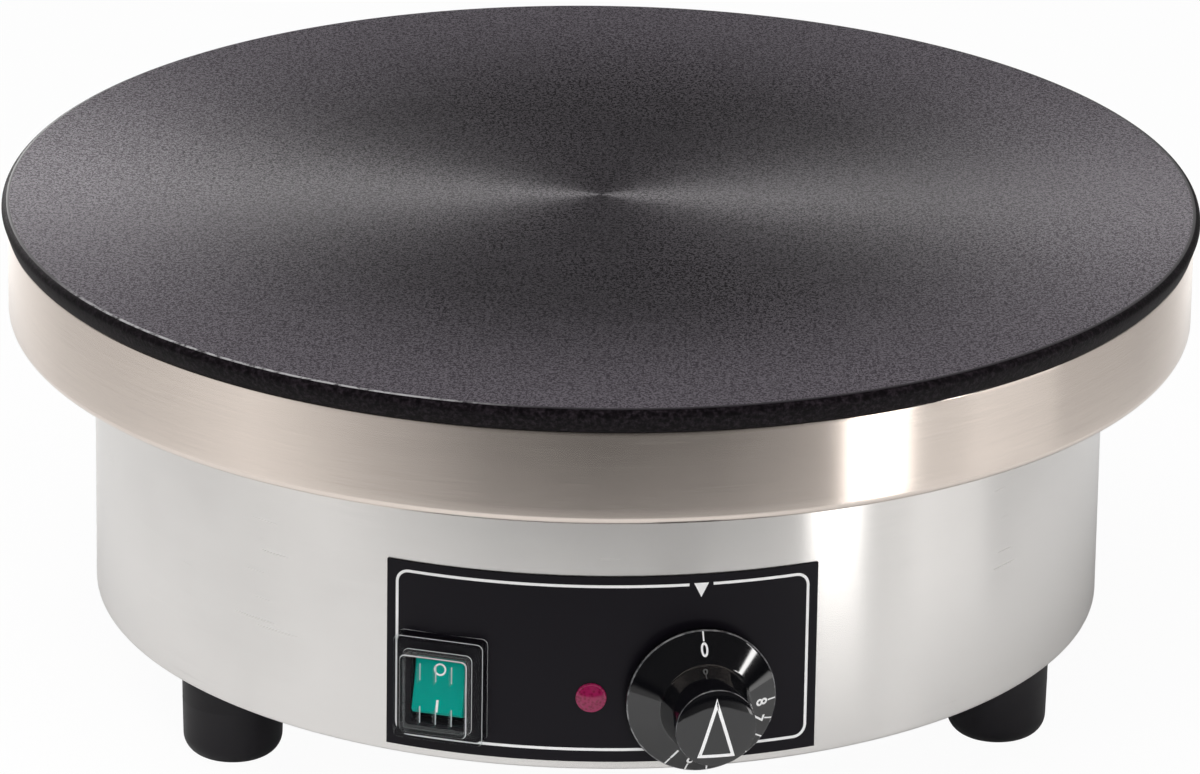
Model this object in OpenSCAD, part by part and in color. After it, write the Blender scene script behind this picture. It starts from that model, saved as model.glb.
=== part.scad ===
// Electric crepe maker: a round cast iron cooking plate on a stainless casing, a drum below it
// that carries the controls, and three feet. Sizes are in millimetres. The origin is on the
// ground below the plate's centre, +Z is up and the controls face -Y.

/* [Cooking plate] */
// Diameter of the cooking plate
plate_d = 399; // [380:1:440]
// Height of the plate's rim above the casing
plate_rim_h = 8; // [6:0.5:12]
// How far the plate reaches down inside the casing
plate_body_h = 8; // [6:0.5:9]
// Rounding of the rim's upper edge
plate_edge_r = 2.5; // [1:0.5:4]
// How much the rim's radius shrinks towards its bottom
plate_draft = 1.7; // [0.5:0.1:3]

/* [Upper casing] */
// Height of the upper casing
casing_h = 31.8; // [30:0.2:45]
// Rounding of the casing's lower edge
casing_edge_r = 3; // [2:0.5:6]
// Thickness of the stainless sheet
sheet_t = 1.2; // [0.8:0.1:1.6]
// How far the plate's rim stands over the casing
rim_overhang = 0.3; // [0:0.1:2]
// Width of the casing's inner ledge, on which the plate rests
ledge_w = 10; // [8:0.5:14]
// Depth of the ledge below the casing's top edge
ledge_drop = 1.8; // [1:0.2:3]

/* [Drum] */
// Outer diameter of the drum
drum_d = 337.6; // [320:1:350]
// Height of the drum
drum_h = 95.5; // [88:0.5:130]
// Width of the drum's top flange, which is riveted to the casing
flange_w = 8.8; // [8:0.2:12]
// Width of the drum's bottom edge, which is folded inwards
hem_w = 3; // [2.5:0.5:4]
// Number of rivets through the flange
rivet_n = 8; // [4:1:12]

/* [Feet] */
// Diameter of a foot
foot_d = 33.7; // [26:0.5:40]
// Height of the drum's bottom edge above the ground
foot_h = 30.7; // [25:0.5:45]
// Rounding of a foot's bottom edge
foot_edge_r = 7; // [3:0.5:8]
// Taper of a foot: how much its radius shrinks towards the bottom
foot_taper = 0.45; // [0:0.05:1.5]
// Distance from the feet to the drum's outer wall
foot_inset = 5; // [4:0.5:12]
// How far the ring of feet is turned, in degrees
foot_turn = 5.85; // [0:0.05:10]

/* [Control panel] */
// Width of the overlay, measured round the drum
overlay_w = 141.4; // [136:0.5:150]
// Height of the overlay
overlay_h = 63.9; // [60:0.5:68]
// Thickness of the overlay
overlay_t = 0.5; // [0.3:0.1:0.8]
// Place of the overlay's middle round the drum
overlay_arc = 2.5; // [0:0.5:5]
// Height of the overlay's bottom edge above the drum's
overlay_lift = 3; // [2:0.5:8]
// Height of the lamp and knob above the drum's bottom edge
control_lift = 25.4; // [24:0.2:32]

/* [Rocker switch] */
// Place of the switch round the drum
switch_arc = -49.1; // [-51:0.1:-46]
// How far the switch's middle is above the lamp's and the knob's
switch_rise = 0.4; // [0:0.1:2]
// Width of the black bezel
bezel_w = 28.2; // [26:0.1:29]
// Height of the black bezel
bezel_h = 33.6; // [31.6:0.1:34.4]
// How far the bezel stands off the overlay
bezel_t = 4.2; // [3:0.2:6]
// Width of the rocker
rocker_w = 17; // [14:0.5:18]
// Height of the rocker's face
rocker_h = 19.7; // [16:0.1:20]
// Tilt of the rocker either side of its middle position, in degrees
rocker_tilt = 15; // [10:0.5:16]
// Diameter of the rocker's pivot pin
rocker_pin_d = 3; // [2:0.5:3.5]
// How far the clear cover's dome stands off the bezel
dome_t = 5.5; // [5:0.5:9]
// Wall of the clear cover
cover_t = 0.8; // [0.5:0.1:1]

/* [Indicator lamp] */
// Place of the lamp round the drum
lamp_arc = -0.9; // [-3:0.1:1]
// Diameter of the lamp's lens
lamp_d = 10; // [9.6:0.2:12]
// Height of the lens
lamp_h = 2; // [1.5:0.1:3]

/* [Thermostat] */
// Place of the knob round the drum
knob_arc = 33.6; // [32:0.2:37]
// Diameter of the knob's skirt
skirt_d = 49; // [40:0.5:52]
// Diameter of the knob's grip at its foot
grip_foot_d = 29.2; // [26:0.2:34]
// Diameter of the knob's grip at its front
grip_front_d = 26; // [22:0.2:28]
// Length of the grip
grip_l = 18; // [14:0.5:20]
// Height of the skirt's cone
skirt_h = 6.3; // [4:0.1:8]
// Gap between the skirt and the overlay
skirt_gap = 2.4; // [1.5:0.1:4]
// Diameter of the thermostat's shaft
shaft_d = 6; // [5:0.5:7]
// Spacing of the two screws that hold the thermostat
thermostat_screw_pitch = 28; // [26:0.5:30]

/* [Heating elements] */
// Diameter of the heating element's sheath
element_d = 8.5; // [6.5:0.5:9]
// Distance from the drum's opening to the outer element's circle
element_inset = 10; // [8:0.5:14]
// Distance between the circles of the two elements
element_pitch = 60; // [56:1:66]
// Bend radius where an element turns down to its terminals
element_bend_r = 14; // [12:0.5:16]
// Thickness of the clamp bars
clamp_t = 3; // [2:0.5:4]

/* [Cable gland] */
// Bore of the cable gland
gland_bore_d = 11; // [8:0.5:13]
// Thread diameter of the cable gland
gland_thread_d = 20; // [18:1:22]
// Height of the gland above the drum's bottom edge
gland_lift = 30; // [24:1:40]

/* [Hidden] */
$fn = 96;

// Clearances that every fit shares
hole_gap = 0.2;
thread_gap = 0.05;
running_gap = 0.05;
seat_gap = 0.1;
loose_gap = 0.3;
glue_t = 0.1;
body_gap = 1.3;
cut = 1;

// Heights, from the ground up
z_drum = foot_h;
z_base = z_drum + sheet_t;
z_floor = z_base + sheet_t;
z_casing = z_drum + drum_h;
z_rim = z_casing + casing_h;
z_top = z_rim + plate_rim_h;
z_under = z_rim - plate_body_h;
z_element = z_under - loose_gap - element_d / 2;
z_clamp = z_element - element_d / 2 - seat_gap - clamp_t;
z_pan = z_casing + sheet_t;
z_control = z_drum + control_lift;
z_switch = z_control + switch_rise;
z_gland = z_drum + gland_lift;

// Radii, from the outside in
plate_r = plate_d / 2;
rim_foot_r = plate_r - plate_draft;
casing_r = rim_foot_r - rim_overhang;
ledge_r = casing_r - sheet_t - ledge_w;
plate_body_r = ledge_r - body_gap;
drum_r = drum_d / 2;
drum_in_r = drum_r - sheet_t;
flange_r = drum_r - flange_w;
rivet_d = 4;
rivet_head_d = 6.4;
rivet_circle_r = drum_in_r - rivet_head_d / 2 - 2 * hole_gap;
overlay_in_r = drum_r + glue_t;
overlay_r = overlay_in_r + overlay_t;
foot_circle_r = drum_r - foot_inset - foot_d / 2;
foot_angles = [for (k = [0:2]) 90 + foot_turn + 120 * k];
outer_r = flange_r - element_inset;
inner_r = outer_r - element_pitch;
clamp_circle_r = (outer_r + inner_r) / 2;
clamp_angles = [30, 150, 270];

// Colours as the photograph shows them
iron = [0.27, 0.25, 0.26];
steel = [0.80, 0.79, 0.77];
zinc = [0.72, 0.73, 0.74];
black = [0.10, 0.10, 0.11];
clear = [0.85, 0.90, 0.92, 0.35];
green = [0.0, 0.62, 0.56];
red = [0.45, 0.06, 0.20];
ceramic = [0.92, 0.90, 0.86];
brass = [0.80, 0.66, 0.35];
fibre = [0.86, 0.84, 0.80];
copper = [0.72, 0.45, 0.30];

// Angle round the drum of a place given as an arc from the front's middle
function around(arc) = arc / drum_r * 180 / PI;
// A point at a radius and an angle, counted from +X
function polar(r, angle, z) = [r * cos(angle), r * sin(angle), z];
// A point seen from the front of the drum: sideways, outwards from the axis, and up
function facing_point(az, x, out, z) =
    [x * cos(az) + out * sin(az), x * sin(az) - out * cos(az), z];

// Turns its children so that -Y points outwards at this azimuth
module facing(az) {
    rotate([0, 0, az]) children();
}
// Cylinder along the outward direction, between two distances from the axis
module out_pin(from, to, r, z, x = 0) {
    translate([x, -from, z]) rotate([90, 0, 0]) cylinder(r = r, h = to - from);
}
// Box along the outward direction, centred sideways and in height
module out_box(from, to, w, h, z, x = 0) {
    translate([x - w / 2, -to, z - h / 2]) cube([w, to - from, h]);
}
// Rectangle with rounded corners
module soft_rect(w, h, r) {
    square([w - 2 * r, h], center = true);
    square([w, h - 2 * r], center = true);
    for (sx = [-1, 1])
        for (sz = [-1, 1])
            translate([sx * (w / 2 - r), sz * (h / 2 - r)]) circle(r = r);
}
// Plate with rounded corners, stood up to face outwards
module out_plate(from, to, w, h, r, z) {
    translate([0, -from, z]) rotate([90, 0, 0]) linear_extrude(height = to - from) soft_rect(w, h, r);
}
module ring(r_out, r_in, z, h) {
    translate([0, 0, z]) difference() {
        cylinder(r = r_out, h = h);
        translate([0, 0, -cut]) cylinder(r = r_in, h = h + 2 * cut);
    }
}
// Hexagon nut with its lower face at z
module hex_nut(flats, bore_d, h, z) {
    translate([0, 0, z]) difference() {
        cylinder(d = flats / cos(30), h = h, $fn = 6);
        translate([0, 0, -cut]) cylinder(d = bore_d + 2 * thread_gap, h = h + 2 * cut);
    }
}
// Points of a quarter or other arc, for turned profiles
function arc_points(centre, r, from, to, steps = 8) =
    [for (k = [0:steps]) let (a = from + (to - from) * k / steps) centre + r * [cos(a), sin(a)]];

// ---- Cooking plate ----
// M8 thread in the plate's central boss
tie_d = 8;
boss_r = 18;
boss_h = 9;
tie_depth = 14;
// M6 studs for the clamp bars, each in its own low boss
stud_d = 6;
stud_boss_r = 9;
stud_boss_h = 4;
stud_depth = 10;
// M4 screw for the sensor bulb's clip
small_d = 4;
bulb_d = 6;
bulb_l = 70;
bulb_angle = 330;
bulb_r = clamp_circle_r - 2;
z_bulb = z_under - loose_gap - bulb_d / 2;
clip_t = 1.2;
clip_w = 12;
clip_over = 6.5;
clip_screw_r = bulb_r + 2 * clip_over;
clip_boss_r = 5.5;
clip_boss_h = bulb_d + 2 * loose_gap;
clip_screw_in = 1;

module cooking_plate() {
    color(iron) difference() {
        union() {
            rotate_extrude() polygon(concat(
                [[0, z_top]],
                arc_points([plate_r - plate_edge_r, z_top - plate_edge_r], plate_edge_r, 90, 0),
                [[rim_foot_r, z_rim], [plate_body_r, z_rim], [plate_body_r, z_under], [0, z_under]]));
            translate([0, 0, z_under - boss_h]) cylinder(r = boss_r, h = boss_h + cut);
            for (a = clamp_angles)
                translate(polar(clamp_circle_r, a, z_under - stud_boss_h))
                    cylinder(r = stud_boss_r, h = stud_boss_h + cut);
            translate(polar(clip_screw_r, bulb_angle, z_under - clip_boss_h))
                cylinder(r = clip_boss_r, h = clip_boss_h + cut);
        }
        translate([0, 0, z_under - boss_h - cut]) cylinder(d = tie_d + 2 * thread_gap, h = tie_depth + cut);
        for (a = clamp_angles)
            translate(polar(clamp_circle_r, a, z_under - stud_boss_h - cut))
                cylinder(d = stud_d + 2 * thread_gap, h = stud_depth + cut);
        translate(polar(clip_screw_r, bulb_angle, z_under - clip_boss_h - cut))
            cylinder(d = small_d + 2 * thread_gap, h = clip_boss_h + 2 * clip_screw_in + cut);
    }
}

// Fibre gasket that lies on the casing's ledge, under the plate's rim
module plate_seal() {
    color(fibre) ring(ledge_r + ledge_w - 3, ledge_r, z_rim - ledge_drop, ledge_drop);
}

// ---- Upper casing: one spun sheet with a ledge for the plate and a flange for the drum ----
module upper_casing() {
    in_r = casing_r - sheet_t;
    bend_in_r = casing_edge_r - sheet_t;
    bend = [casing_r - casing_edge_r, z_casing + casing_edge_r];
    color(steel) difference() {
        rotate_extrude() polygon(concat(
            [[flange_r, z_casing]],
            arc_points(bend, casing_edge_r, -90, 0),
            [[casing_r, z_rim], [in_r, z_rim], [in_r, z_rim - ledge_drop], [ledge_r, z_rim - ledge_drop],
             [ledge_r, z_rim - ledge_drop - sheet_t], [in_r, z_rim - ledge_drop - sheet_t]],
            arc_points(bend, bend_in_r, 0, -90),
            [[flange_r, z_casing + sheet_t]]));
        rivet_holes(z_casing);
    }
}

// ---- Drum: rolled sheet with a top flange, a folded bottom edge and three inner tabs ----
module rivet_holes(z) {
    for (k = [0:rivet_n - 1])
        translate(polar(rivet_circle_r, 360 * k / rivet_n, z - cut))
            cylinder(d = rivet_d + 2 * thread_gap, h = sheet_t + 2 * cut);
}
tab_angles = [for (k = [0:2]) 23.5 + 120 * k];
tab_w = 12;
tab_d = 15;
tab_h = 10;
tab_screw_in = 9;
module drum_tab() {
    intersection() {
        union() {
            translate([drum_in_r - tab_d, -tab_w / 2, z_floor]) cube([tab_d + cut, tab_w, sheet_t]);
            translate([drum_in_r - sheet_t, -tab_w / 2, z_floor]) cube([sheet_t + cut, tab_w, tab_h]);
        }
        cylinder(r = drum_in_r + sheet_t / 2, h = z_top);
    }
}
housing_w = 21.8;
housing_h = 27.4;
module control_cutouts() {
    from = drum_in_r - 2 * sheet_t;
    to = overlay_r + sheet_t;
    facing(around(switch_arc))
        out_box(from, to, housing_w + 2 * hole_gap, housing_h + 2 * hole_gap, z_switch);
    facing(around(lamp_arc)) out_pin(from, to, lamp_body_r + hole_gap, z_control);
    facing(around(knob_arc)) out_pin(from, to, bush_r + hole_gap, z_control);
}
module drum() {
    color(steel) difference() {
        union() {
            rotate_extrude() polygon([
                [drum_r - hem_w, z_drum], [drum_r, z_drum], [drum_r, z_casing], [flange_r, z_casing],
                [flange_r, z_casing - sheet_t], [drum_in_r, z_casing - sheet_t],
                [drum_in_r, z_base], [drum_r - hem_w, z_base]]);
            for (a = tab_angles) rotate([0, 0, a]) drum_tab();
        }
        rivet_holes(z_casing - sheet_t);
        control_cutouts();
        facing(gland_az) out_pin(drum_in_r - 2 * cut, drum_r + cut, gland_thread_d / 2 + hole_gap, z_gland);
        for (a = tab_angles)
            translate(polar(drum_in_r - tab_screw_in, a, z_floor - cut))
                cylinder(d = small_d + 2 * thread_gap, h = sheet_t + 2 * cut);
    }
}

// Countersunk rivets, flush with the casing's flange and headed below the drum's
module casing_rivets() {
    head_h = 1.6;
    color(zinc) for (k = [0:rivet_n - 1])
        translate(polar(rivet_circle_r, 360 * k / rivet_n, 0)) {
            translate([0, 0, z_casing - sheet_t]) cylinder(d = rivet_d, h = 2 * sheet_t);
            translate([0, 0, z_casing - sheet_t - head_h]) cylinder(d = rivet_head_d, h = head_h);
        }
}

// ---- Base plate: a flat sheet on the drum's folded edge, with cooling slots ----
slot_l = 34;
slot_w = 4;
slot_n = 6;
slot_from = 52;
slot_pitch = 9;
slot_angles = [0, 60, 120, 180, 240, 300];
foot_screw_d = 6;
module base_plate() {
    color(zinc) difference() {
        translate([0, 0, z_base]) cylinder(r = drum_in_r - loose_gap, h = sheet_t);
        for (a = slot_angles)
            rotate([0, 0, a + foot_turn])
                for (k = [0:slot_n - 1])
                    translate([slot_from + slot_pitch * k, -slot_l / 2, z_base - cut])
                        cube([slot_w, slot_l, sheet_t + 2 * cut]);
        translate([0, 0, z_base - cut]) cylinder(d = tie_d + 2 * hole_gap, h = sheet_t + 2 * cut);
        for (a = foot_angles)
            translate(polar(foot_circle_r, a, z_base - cut))
                cylinder(d = foot_screw_d + 2 * hole_gap, h = sheet_t + 2 * cut);
        for (a = tab_angles)
            translate(polar(drum_in_r - tab_screw_in, a, z_base - cut))
                cylinder(d = small_d + 2 * hole_gap, h = sheet_t + 2 * cut);
    }
}

// Pan head screws from below into the drum's tabs
small_head_h = 2.4;
base_screw_l = 8;
module base_screws() {
    color(zinc) for (a = tab_angles)
        translate(polar(drum_in_r - tab_screw_in, a, 0)) {
            translate([0, 0, z_base - small_head_h]) cylinder(d = 2 * small_d, h = small_head_h);
            translate([0, 0, z_base]) cylinder(d = small_d, h = base_screw_l);
        }
}

// ---- Feet: black rubber, drawn in slightly, with a screw in a deep counterbore ----
foot_pocket_d = 13;
foot_pocket_h = 16;
foot_screw_head_h = 4;
foot_screw_tip = 2;
module foot(angle) {
    foot_r = foot_d / 2;
    low_r = foot_r - foot_taper;
    color(black) translate(polar(foot_circle_r, angle, 0)) difference() {
        rotate_extrude() polygon(concat(
            [[0, 0]],
            arc_points([low_r - foot_edge_r, foot_edge_r], foot_edge_r, -90, 0),
            [[foot_r, z_base], [0, z_base]]));
        translate([0, 0, -cut]) cylinder(d = foot_pocket_d, h = foot_pocket_h + cut);
        cylinder(d = foot_screw_d + 2 * hole_gap, h = z_base + cut);
    }
}
module foot_rear() {
    foot(foot_angles[0]);
}
module foot_front_left() {
    foot(foot_angles[1]);
}
module foot_front_right() {
    foot(foot_angles[2]);
}
foot_nut_h = 5;
module foot_screws() {
    color(zinc) for (a = foot_angles)
        translate(polar(foot_circle_r, a, 0)) {
            translate([0, 0, foot_pocket_h - foot_screw_head_h])
                cylinder(d = 1.7 * foot_screw_d, h = foot_screw_head_h);
            translate([0, 0, foot_pocket_h])
                cylinder(d = foot_screw_d, h = z_floor + foot_nut_h + foot_screw_tip - foot_pocket_h);
        }
}
module foot_nuts() {
    color(zinc) for (a = foot_angles)
        translate(polar(foot_circle_r, a, 0)) hex_nut(10, foot_screw_d, foot_nut_h, z_floor);
}

// ---- Heating elements: tubes bent to an open circle, with both ends turned down ----
outer_gap_angle = 12;
inner_gap_angle = 20;
leg_drop = 13;
leg_end_z = z_pan - leg_drop;
bead_h = 5;
bead_r = 5;
pin_d = 4;
pin_l = 14;
pin_end_z = leg_end_z - pin_l;
// The leg's place: at the end of a bend that starts square to the circle
function leg_at(r, gap, side, z) =
    let (a = 90 + side * gap, t = [sin(a), -cos(a), 0] * side)
        [r * cos(a), r * sin(a), z] + t * element_bend_r;
module element(r, gap) {
    half_element(r, gap);
    mirror([1, 0, 0]) half_element(r, gap);
}
// The left half: half the circle, a quarter bend square to it and the leg down
module half_element(r, gap) {
    tube_r = element_d / 2;
    intersection() {
        rotate([0, 0, 90 + gap]) translate([0, 0, z_element])
            rotate_extrude(angle = 181 - gap) translate([r, 0]) circle(r = tube_r);
        translate([-2 * r, -2 * r, 0]) cube([2 * r, 4 * r, z_top]);
    }
    rotate([0, 0, 90 + gap]) translate([0, 0, z_element]) {
        translate([r, 0, -element_bend_r]) rotate([180, -90, 0])
            rotate_extrude(angle = 90) translate([element_bend_r, 0]) circle(r = tube_r);
        translate([r, -element_bend_r, leg_end_z - z_element])
            cylinder(r = tube_r, h = z_element - element_bend_r - leg_end_z);
    }
}
module element_outer() {
    color(zinc) element(outer_r, outer_gap_angle);
}
module element_inner() {
    color(zinc) element(inner_r, inner_gap_angle);
}
element_legs = [for (e = [[outer_r, outer_gap_angle], [inner_r, inner_gap_angle]])
    for (side = [-1, 1]) leg_at(e[0], e[1], side, 0)];
module element_beads() {
    color(ceramic) for (p = element_legs)
        translate(p) ring(bead_r, pin_d / 2 + thread_gap, leg_end_z - bead_h, bead_h);
}
module element_pins() {
    color(zinc) for (p = element_legs)
        translate([p[0], p[1], pin_end_z]) cylinder(d = pin_d, h = leg_end_z - pin_end_z);
}
// Brass straps that join the two elements' pins on each side
link_t = 1.5;
link_w = 10;
nut_h = 3.2;
pin_tip = 1;
module element_links() {
    z = pin_end_z + nut_h + pin_tip;
    color(brass) for (side = [0, 1]) {
        a = element_legs[side];
        b = element_legs[side + 2];
        d = b - a;
        difference() {
            translate([a[0], a[1], z]) rotate([0, 0, atan2(d[1], d[0])])
                translate([-link_w / 2, -link_w / 2, 0]) cube([norm(d) + link_w, link_w, link_t]);
            for (p = [a, b])
                translate([p[0], p[1], z - cut]) cylinder(d = pin_d + 2 * thread_gap, h = link_t + 2 * cut);
        }
    }
}
module link_nuts() {
    color(zinc) for (p = element_legs)
        translate([p[0], p[1], 0]) hex_nut(7, pin_d, nut_h, pin_end_z + pin_tip);
}

// ---- Clamp bars that press both elements against the plate ----
clamp_w = 22;
clamp_over = 17;
clamp_l = element_pitch + 2 * clamp_over;
clamp_nut_h = 5;
stud_drop = 9;
stud_end_z = z_pan - stud_drop;
module clamp_bars() {
    color(zinc) for (a = clamp_angles)
        rotate([0, 0, a]) difference() {
            translate([clamp_circle_r - clamp_l / 2, -clamp_w / 2, z_clamp])
                cube([clamp_l, clamp_w, clamp_t]);
            translate([clamp_circle_r, 0, z_clamp - cut])
                cylinder(d = stud_d + 2 * hole_gap, h = clamp_t + 2 * cut);
        }
}
module clamp_studs() {
    color(zinc) for (a = clamp_angles)
        translate(polar(clamp_circle_r, a, stud_end_z))
            cylinder(d = stud_d, h = z_under - stud_boss_h + stud_depth - stud_end_z);
}
module clamp_nuts() {
    color(zinc) for (a = clamp_angles)
        translate(polar(clamp_circle_r, a, 0)) hex_nut(10, stud_d, clamp_nut_h, z_clamp - clamp_nut_h);
}
module shield_nuts() {
    color(zinc) for (a = clamp_angles)
        translate(polar(clamp_circle_r, a, 0)) hex_nut(10, stud_d, clamp_nut_h, z_pan - clamp_nut_h);
}

// ---- Insulation and heat shield ----
pan_t = 0.8;
pan_gap = 19.5;
pan_r = casing_r - pan_gap;
pan_top_gap = 3;
pan_wall_h = z_under - pan_top_gap - z_pan;
insulation_gap = 0.5;
insulation_t = z_clamp - insulation_gap - z_pan - pan_t;
bulb_dir = [-sin(bulb_angle), cos(bulb_angle), 0];
bulb_mid = polar(bulb_r, bulb_angle, z_bulb);
riser_gap = 20;
capillary_riser = bulb_mid - bulb_dir * (bulb_l / 2 + riser_gap);
module shield_holes(leg_gap, stud_r, centre_r, riser_r, z, h) {
    for (p = element_legs) translate([p[0], p[1], z]) cylinder(r = element_d / 2 + leg_gap, h = h);
    for (a = clamp_angles) translate(polar(clamp_circle_r, a, z)) cylinder(r = stud_r, h = h);
    translate([0, 0, z]) cylinder(r = centre_r, h = h);
    translate([capillary_riser[0], capillary_riser[1], z]) cylinder(r = riser_r, h = h);
}
module shield_pan() {
    color(zinc) difference() {
        translate([0, 0, z_pan]) cylinder(r = pan_r, h = pan_wall_h);
        translate([0, 0, z_pan + pan_t]) cylinder(r = pan_r - pan_t, h = pan_wall_h);
        shield_holes(0.8, stud_d / 2 + hole_gap, tie_d / 2 + hole_gap, 2, z_pan - cut, pan_t + 2 * cut);
    }
}
module insulation_disc() {
    color(fibre) difference() {
        translate([0, 0, z_pan + pan_t]) cylinder(r = pan_r - pan_t - loose_gap, h = insulation_t);
        shield_holes(3, 7, tie_d / 2 + 1, 3.5, z_pan, insulation_t + pan_t + cut);
    }
}

// ---- Tie rod that draws the plate, casing, drum and base together ----
tie_nut_h = 6.5;
washer_t = 1.6;
tie_tip = 2;
module tie_rod() {
    low = z_base - washer_t - tie_nut_h - tie_tip;
    color(zinc) translate([0, 0, low]) cylinder(d = tie_d, h = z_under - boss_h + tie_depth - low);
}
module tie_washer() {
    color(zinc) ring(12, tie_d / 2 + hole_gap, z_base - washer_t, washer_t);
}
module tie_nut() {
    color(zinc) hex_nut(13, tie_d, tie_nut_h, z_base - washer_t - tie_nut_h);
}

// ---- Control panel overlay: a thin sheet that follows the drum ----
module control_overlay() {
    span = around(overlay_w);
    color(black) difference() {
        rotate([0, 0, -90 + around(overlay_arc) - span / 2]) rotate_extrude(angle = span)
            translate([overlay_in_r, z_drum + overlay_lift]) square([overlay_t, overlay_h]);
        control_cutouts();
    }
}

// ---- Rocker switch with a clear splash cover ----
bezel_front = overlay_r + bezel_t;
housing_l = 21.8;
housing_back = drum_r - housing_l;
pivot_depth = 4.2;
pivot_out = bezel_front - pivot_depth;
well_h = rocker_h + 3.4;
well_depth = 7.5;
pin_in = 1.6;
sink = 3;
module rocker_pin(gap) {
    l = rocker_w + 2 * (pin_in + gap);
    translate([-l / 2, -pivot_out, z_switch]) rotate([0, 90, 0])
        cylinder(d = rocker_pin_d + 2 * gap, h = l);
}
module switch_body() {
    color(black) facing(around(switch_arc)) difference() {
        union() {
            difference() {
                out_plate(overlay_r - sink, bezel_front, bezel_w, bezel_h, 1.5, z_switch);
                cylinder(r = overlay_r, h = z_top);
            }
            out_box(housing_back, bezel_front - cut, housing_w, housing_h, z_switch);
        }
        out_box(pivot_out - well_depth, bezel_front + cut, rocker_w + 2 * loose_gap, well_h, z_switch);
        rocker_pin(running_gap);
    }
}
// The face is dished a little and eased at its ends; at rest the top is pressed in, which is off
face_mid = 3.7;
face_end = 4.1;
back_out = 5;
// Half of the rocker's side view: height from its pivot, and distance out
function rocker_half(half) = [
    [half - 1.55, face_end], [half - 1.05, 3.5], [half - 0.65, 2.6], [half - 0.3, 0], [5.5, -back_out]];
module switch_rocker() {
    above = rocker_half(rocker_h / 2);
    below = [for (k = [len(above) - 1:-1:0]) [-above[k][0], above[k][1]]];
    color(green) facing(around(switch_arc)) {
        translate([0, -pivot_out, z_switch]) rotate([-rocker_tilt, 0, 0]) rotate([90, 0, 90])
            linear_extrude(height = rocker_w, center = true)
                polygon([for (p = concat([[0, face_mid]], above, below)) [-p[1], p[0]]]);
        rocker_pin(0);
    }
}
switch_tab_x = 5.5;
switch_tab_z = 8;
tab_l = 8;
module blade(from, x, z) {
    out_box(from - tab_l, from, 4.8, 0.8, z, x);
}
module switch_tabs() {
    color(brass) facing(around(switch_arc))
        for (x = [-1, 1])
            for (z = [-1:1]) blade(housing_back, x * switch_tab_x, z_switch + z * switch_tab_z);
}
// One clear moulding: a skirt round the bezel, a skin over it and a dome over the rocker,
// with short fins that reach in from the dome's front
dome_over_w = 3;
dome_over_h = 3.75;
dome_w = rocker_w + 2 * dome_over_w;
dome_h = rocker_h + 2 * dome_over_h;
rib_l = 5.7;
rib_pitch = 5.3;
rib_t = 0.4;
rib_z = 7.4;
rib_drop = 0.6;
rib_reach = 3;
cover_edge_r = 2;
cover_in_r = cover_edge_r - cover_t;
module splash_cover() {
    skin = bezel_front + seat_gap;
    dome_front = skin + cover_t + dome_t;
    skirt_w = bezel_w + 2 * seat_gap;
    skirt_hh = bezel_h + 2 * seat_gap;
    color(clear) facing(around(switch_arc)) {
        difference() {
            union() {
                out_plate(overlay_r - sink, skin + cover_t, skirt_w + 2 * cover_t, skirt_hh + 2 * cover_t,
                    cover_edge_r, z_switch);
                out_plate(skin, dome_front, dome_w, dome_h, cover_edge_r, z_switch);
            }
            out_plate(overlay_r - sink - cut, skin, skirt_w, skirt_hh, cover_in_r, z_switch);
            out_plate(skin - cut, dome_front - cover_t, dome_w - 2 * cover_t, dome_h - 2 * cover_t,
                cover_in_r, z_switch);
            cylinder(r = overlay_r, h = z_top);
        }
        for (k = [-1:1])
            for (side = [-1, 1])
                out_box(dome_front - cover_t - rib_reach, dome_front - cover_t / 2, rib_t, rib_l,
                    z_switch - rib_drop + side * rib_z, k * rib_pitch);
    }
}

// ---- Indicator lamp ----
lamp_body_r = 4.4;
lamp_body_l = 22;
lamp_stem_r = 3.4;
lamp_back = overlay_r - lamp_body_l;
module lamp_lens() {
    r = lamp_d / 2;
    ball_r = (r * r + lamp_h * lamp_h) / (2 * lamp_h);
    color(red) facing(around(lamp_arc)) {
        difference() {
            intersection() {
                out_pin(overlay_r - 1, overlay_r + lamp_h + cut, r, z_control);
                translate([0, -(overlay_r + lamp_h + 0.5 - ball_r), z_control]) sphere(r = ball_r);
            }
            cylinder(r = overlay_r, h = z_top);
            out_pin(overlay_r - 2, overlay_r + 0.4, lamp_stem_r, z_control);
        }
        out_pin(overlay_r - 6, overlay_r + 0.5, lamp_stem_r, z_control);
    }
}
module lamp_holder() {
    color(black) facing(around(lamp_arc)) difference() {
        intersection() {
            out_pin(lamp_back, overlay_r + cut, lamp_body_r, z_control);
            cylinder(r = overlay_r, h = z_top);
        }
        out_pin(overlay_r - 6 - seat_gap, overlay_r + 2 * cut, lamp_stem_r + running_gap, z_control);
    }
}
lamp_tab_x = 2.4;
module lamp_tabs() {
    color(brass) facing(around(lamp_arc))
        for (x = [-1, 1]) out_box(lamp_back - tab_l, lamp_back, 0.8, 4, z_control, x * lamp_tab_x);
}

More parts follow.
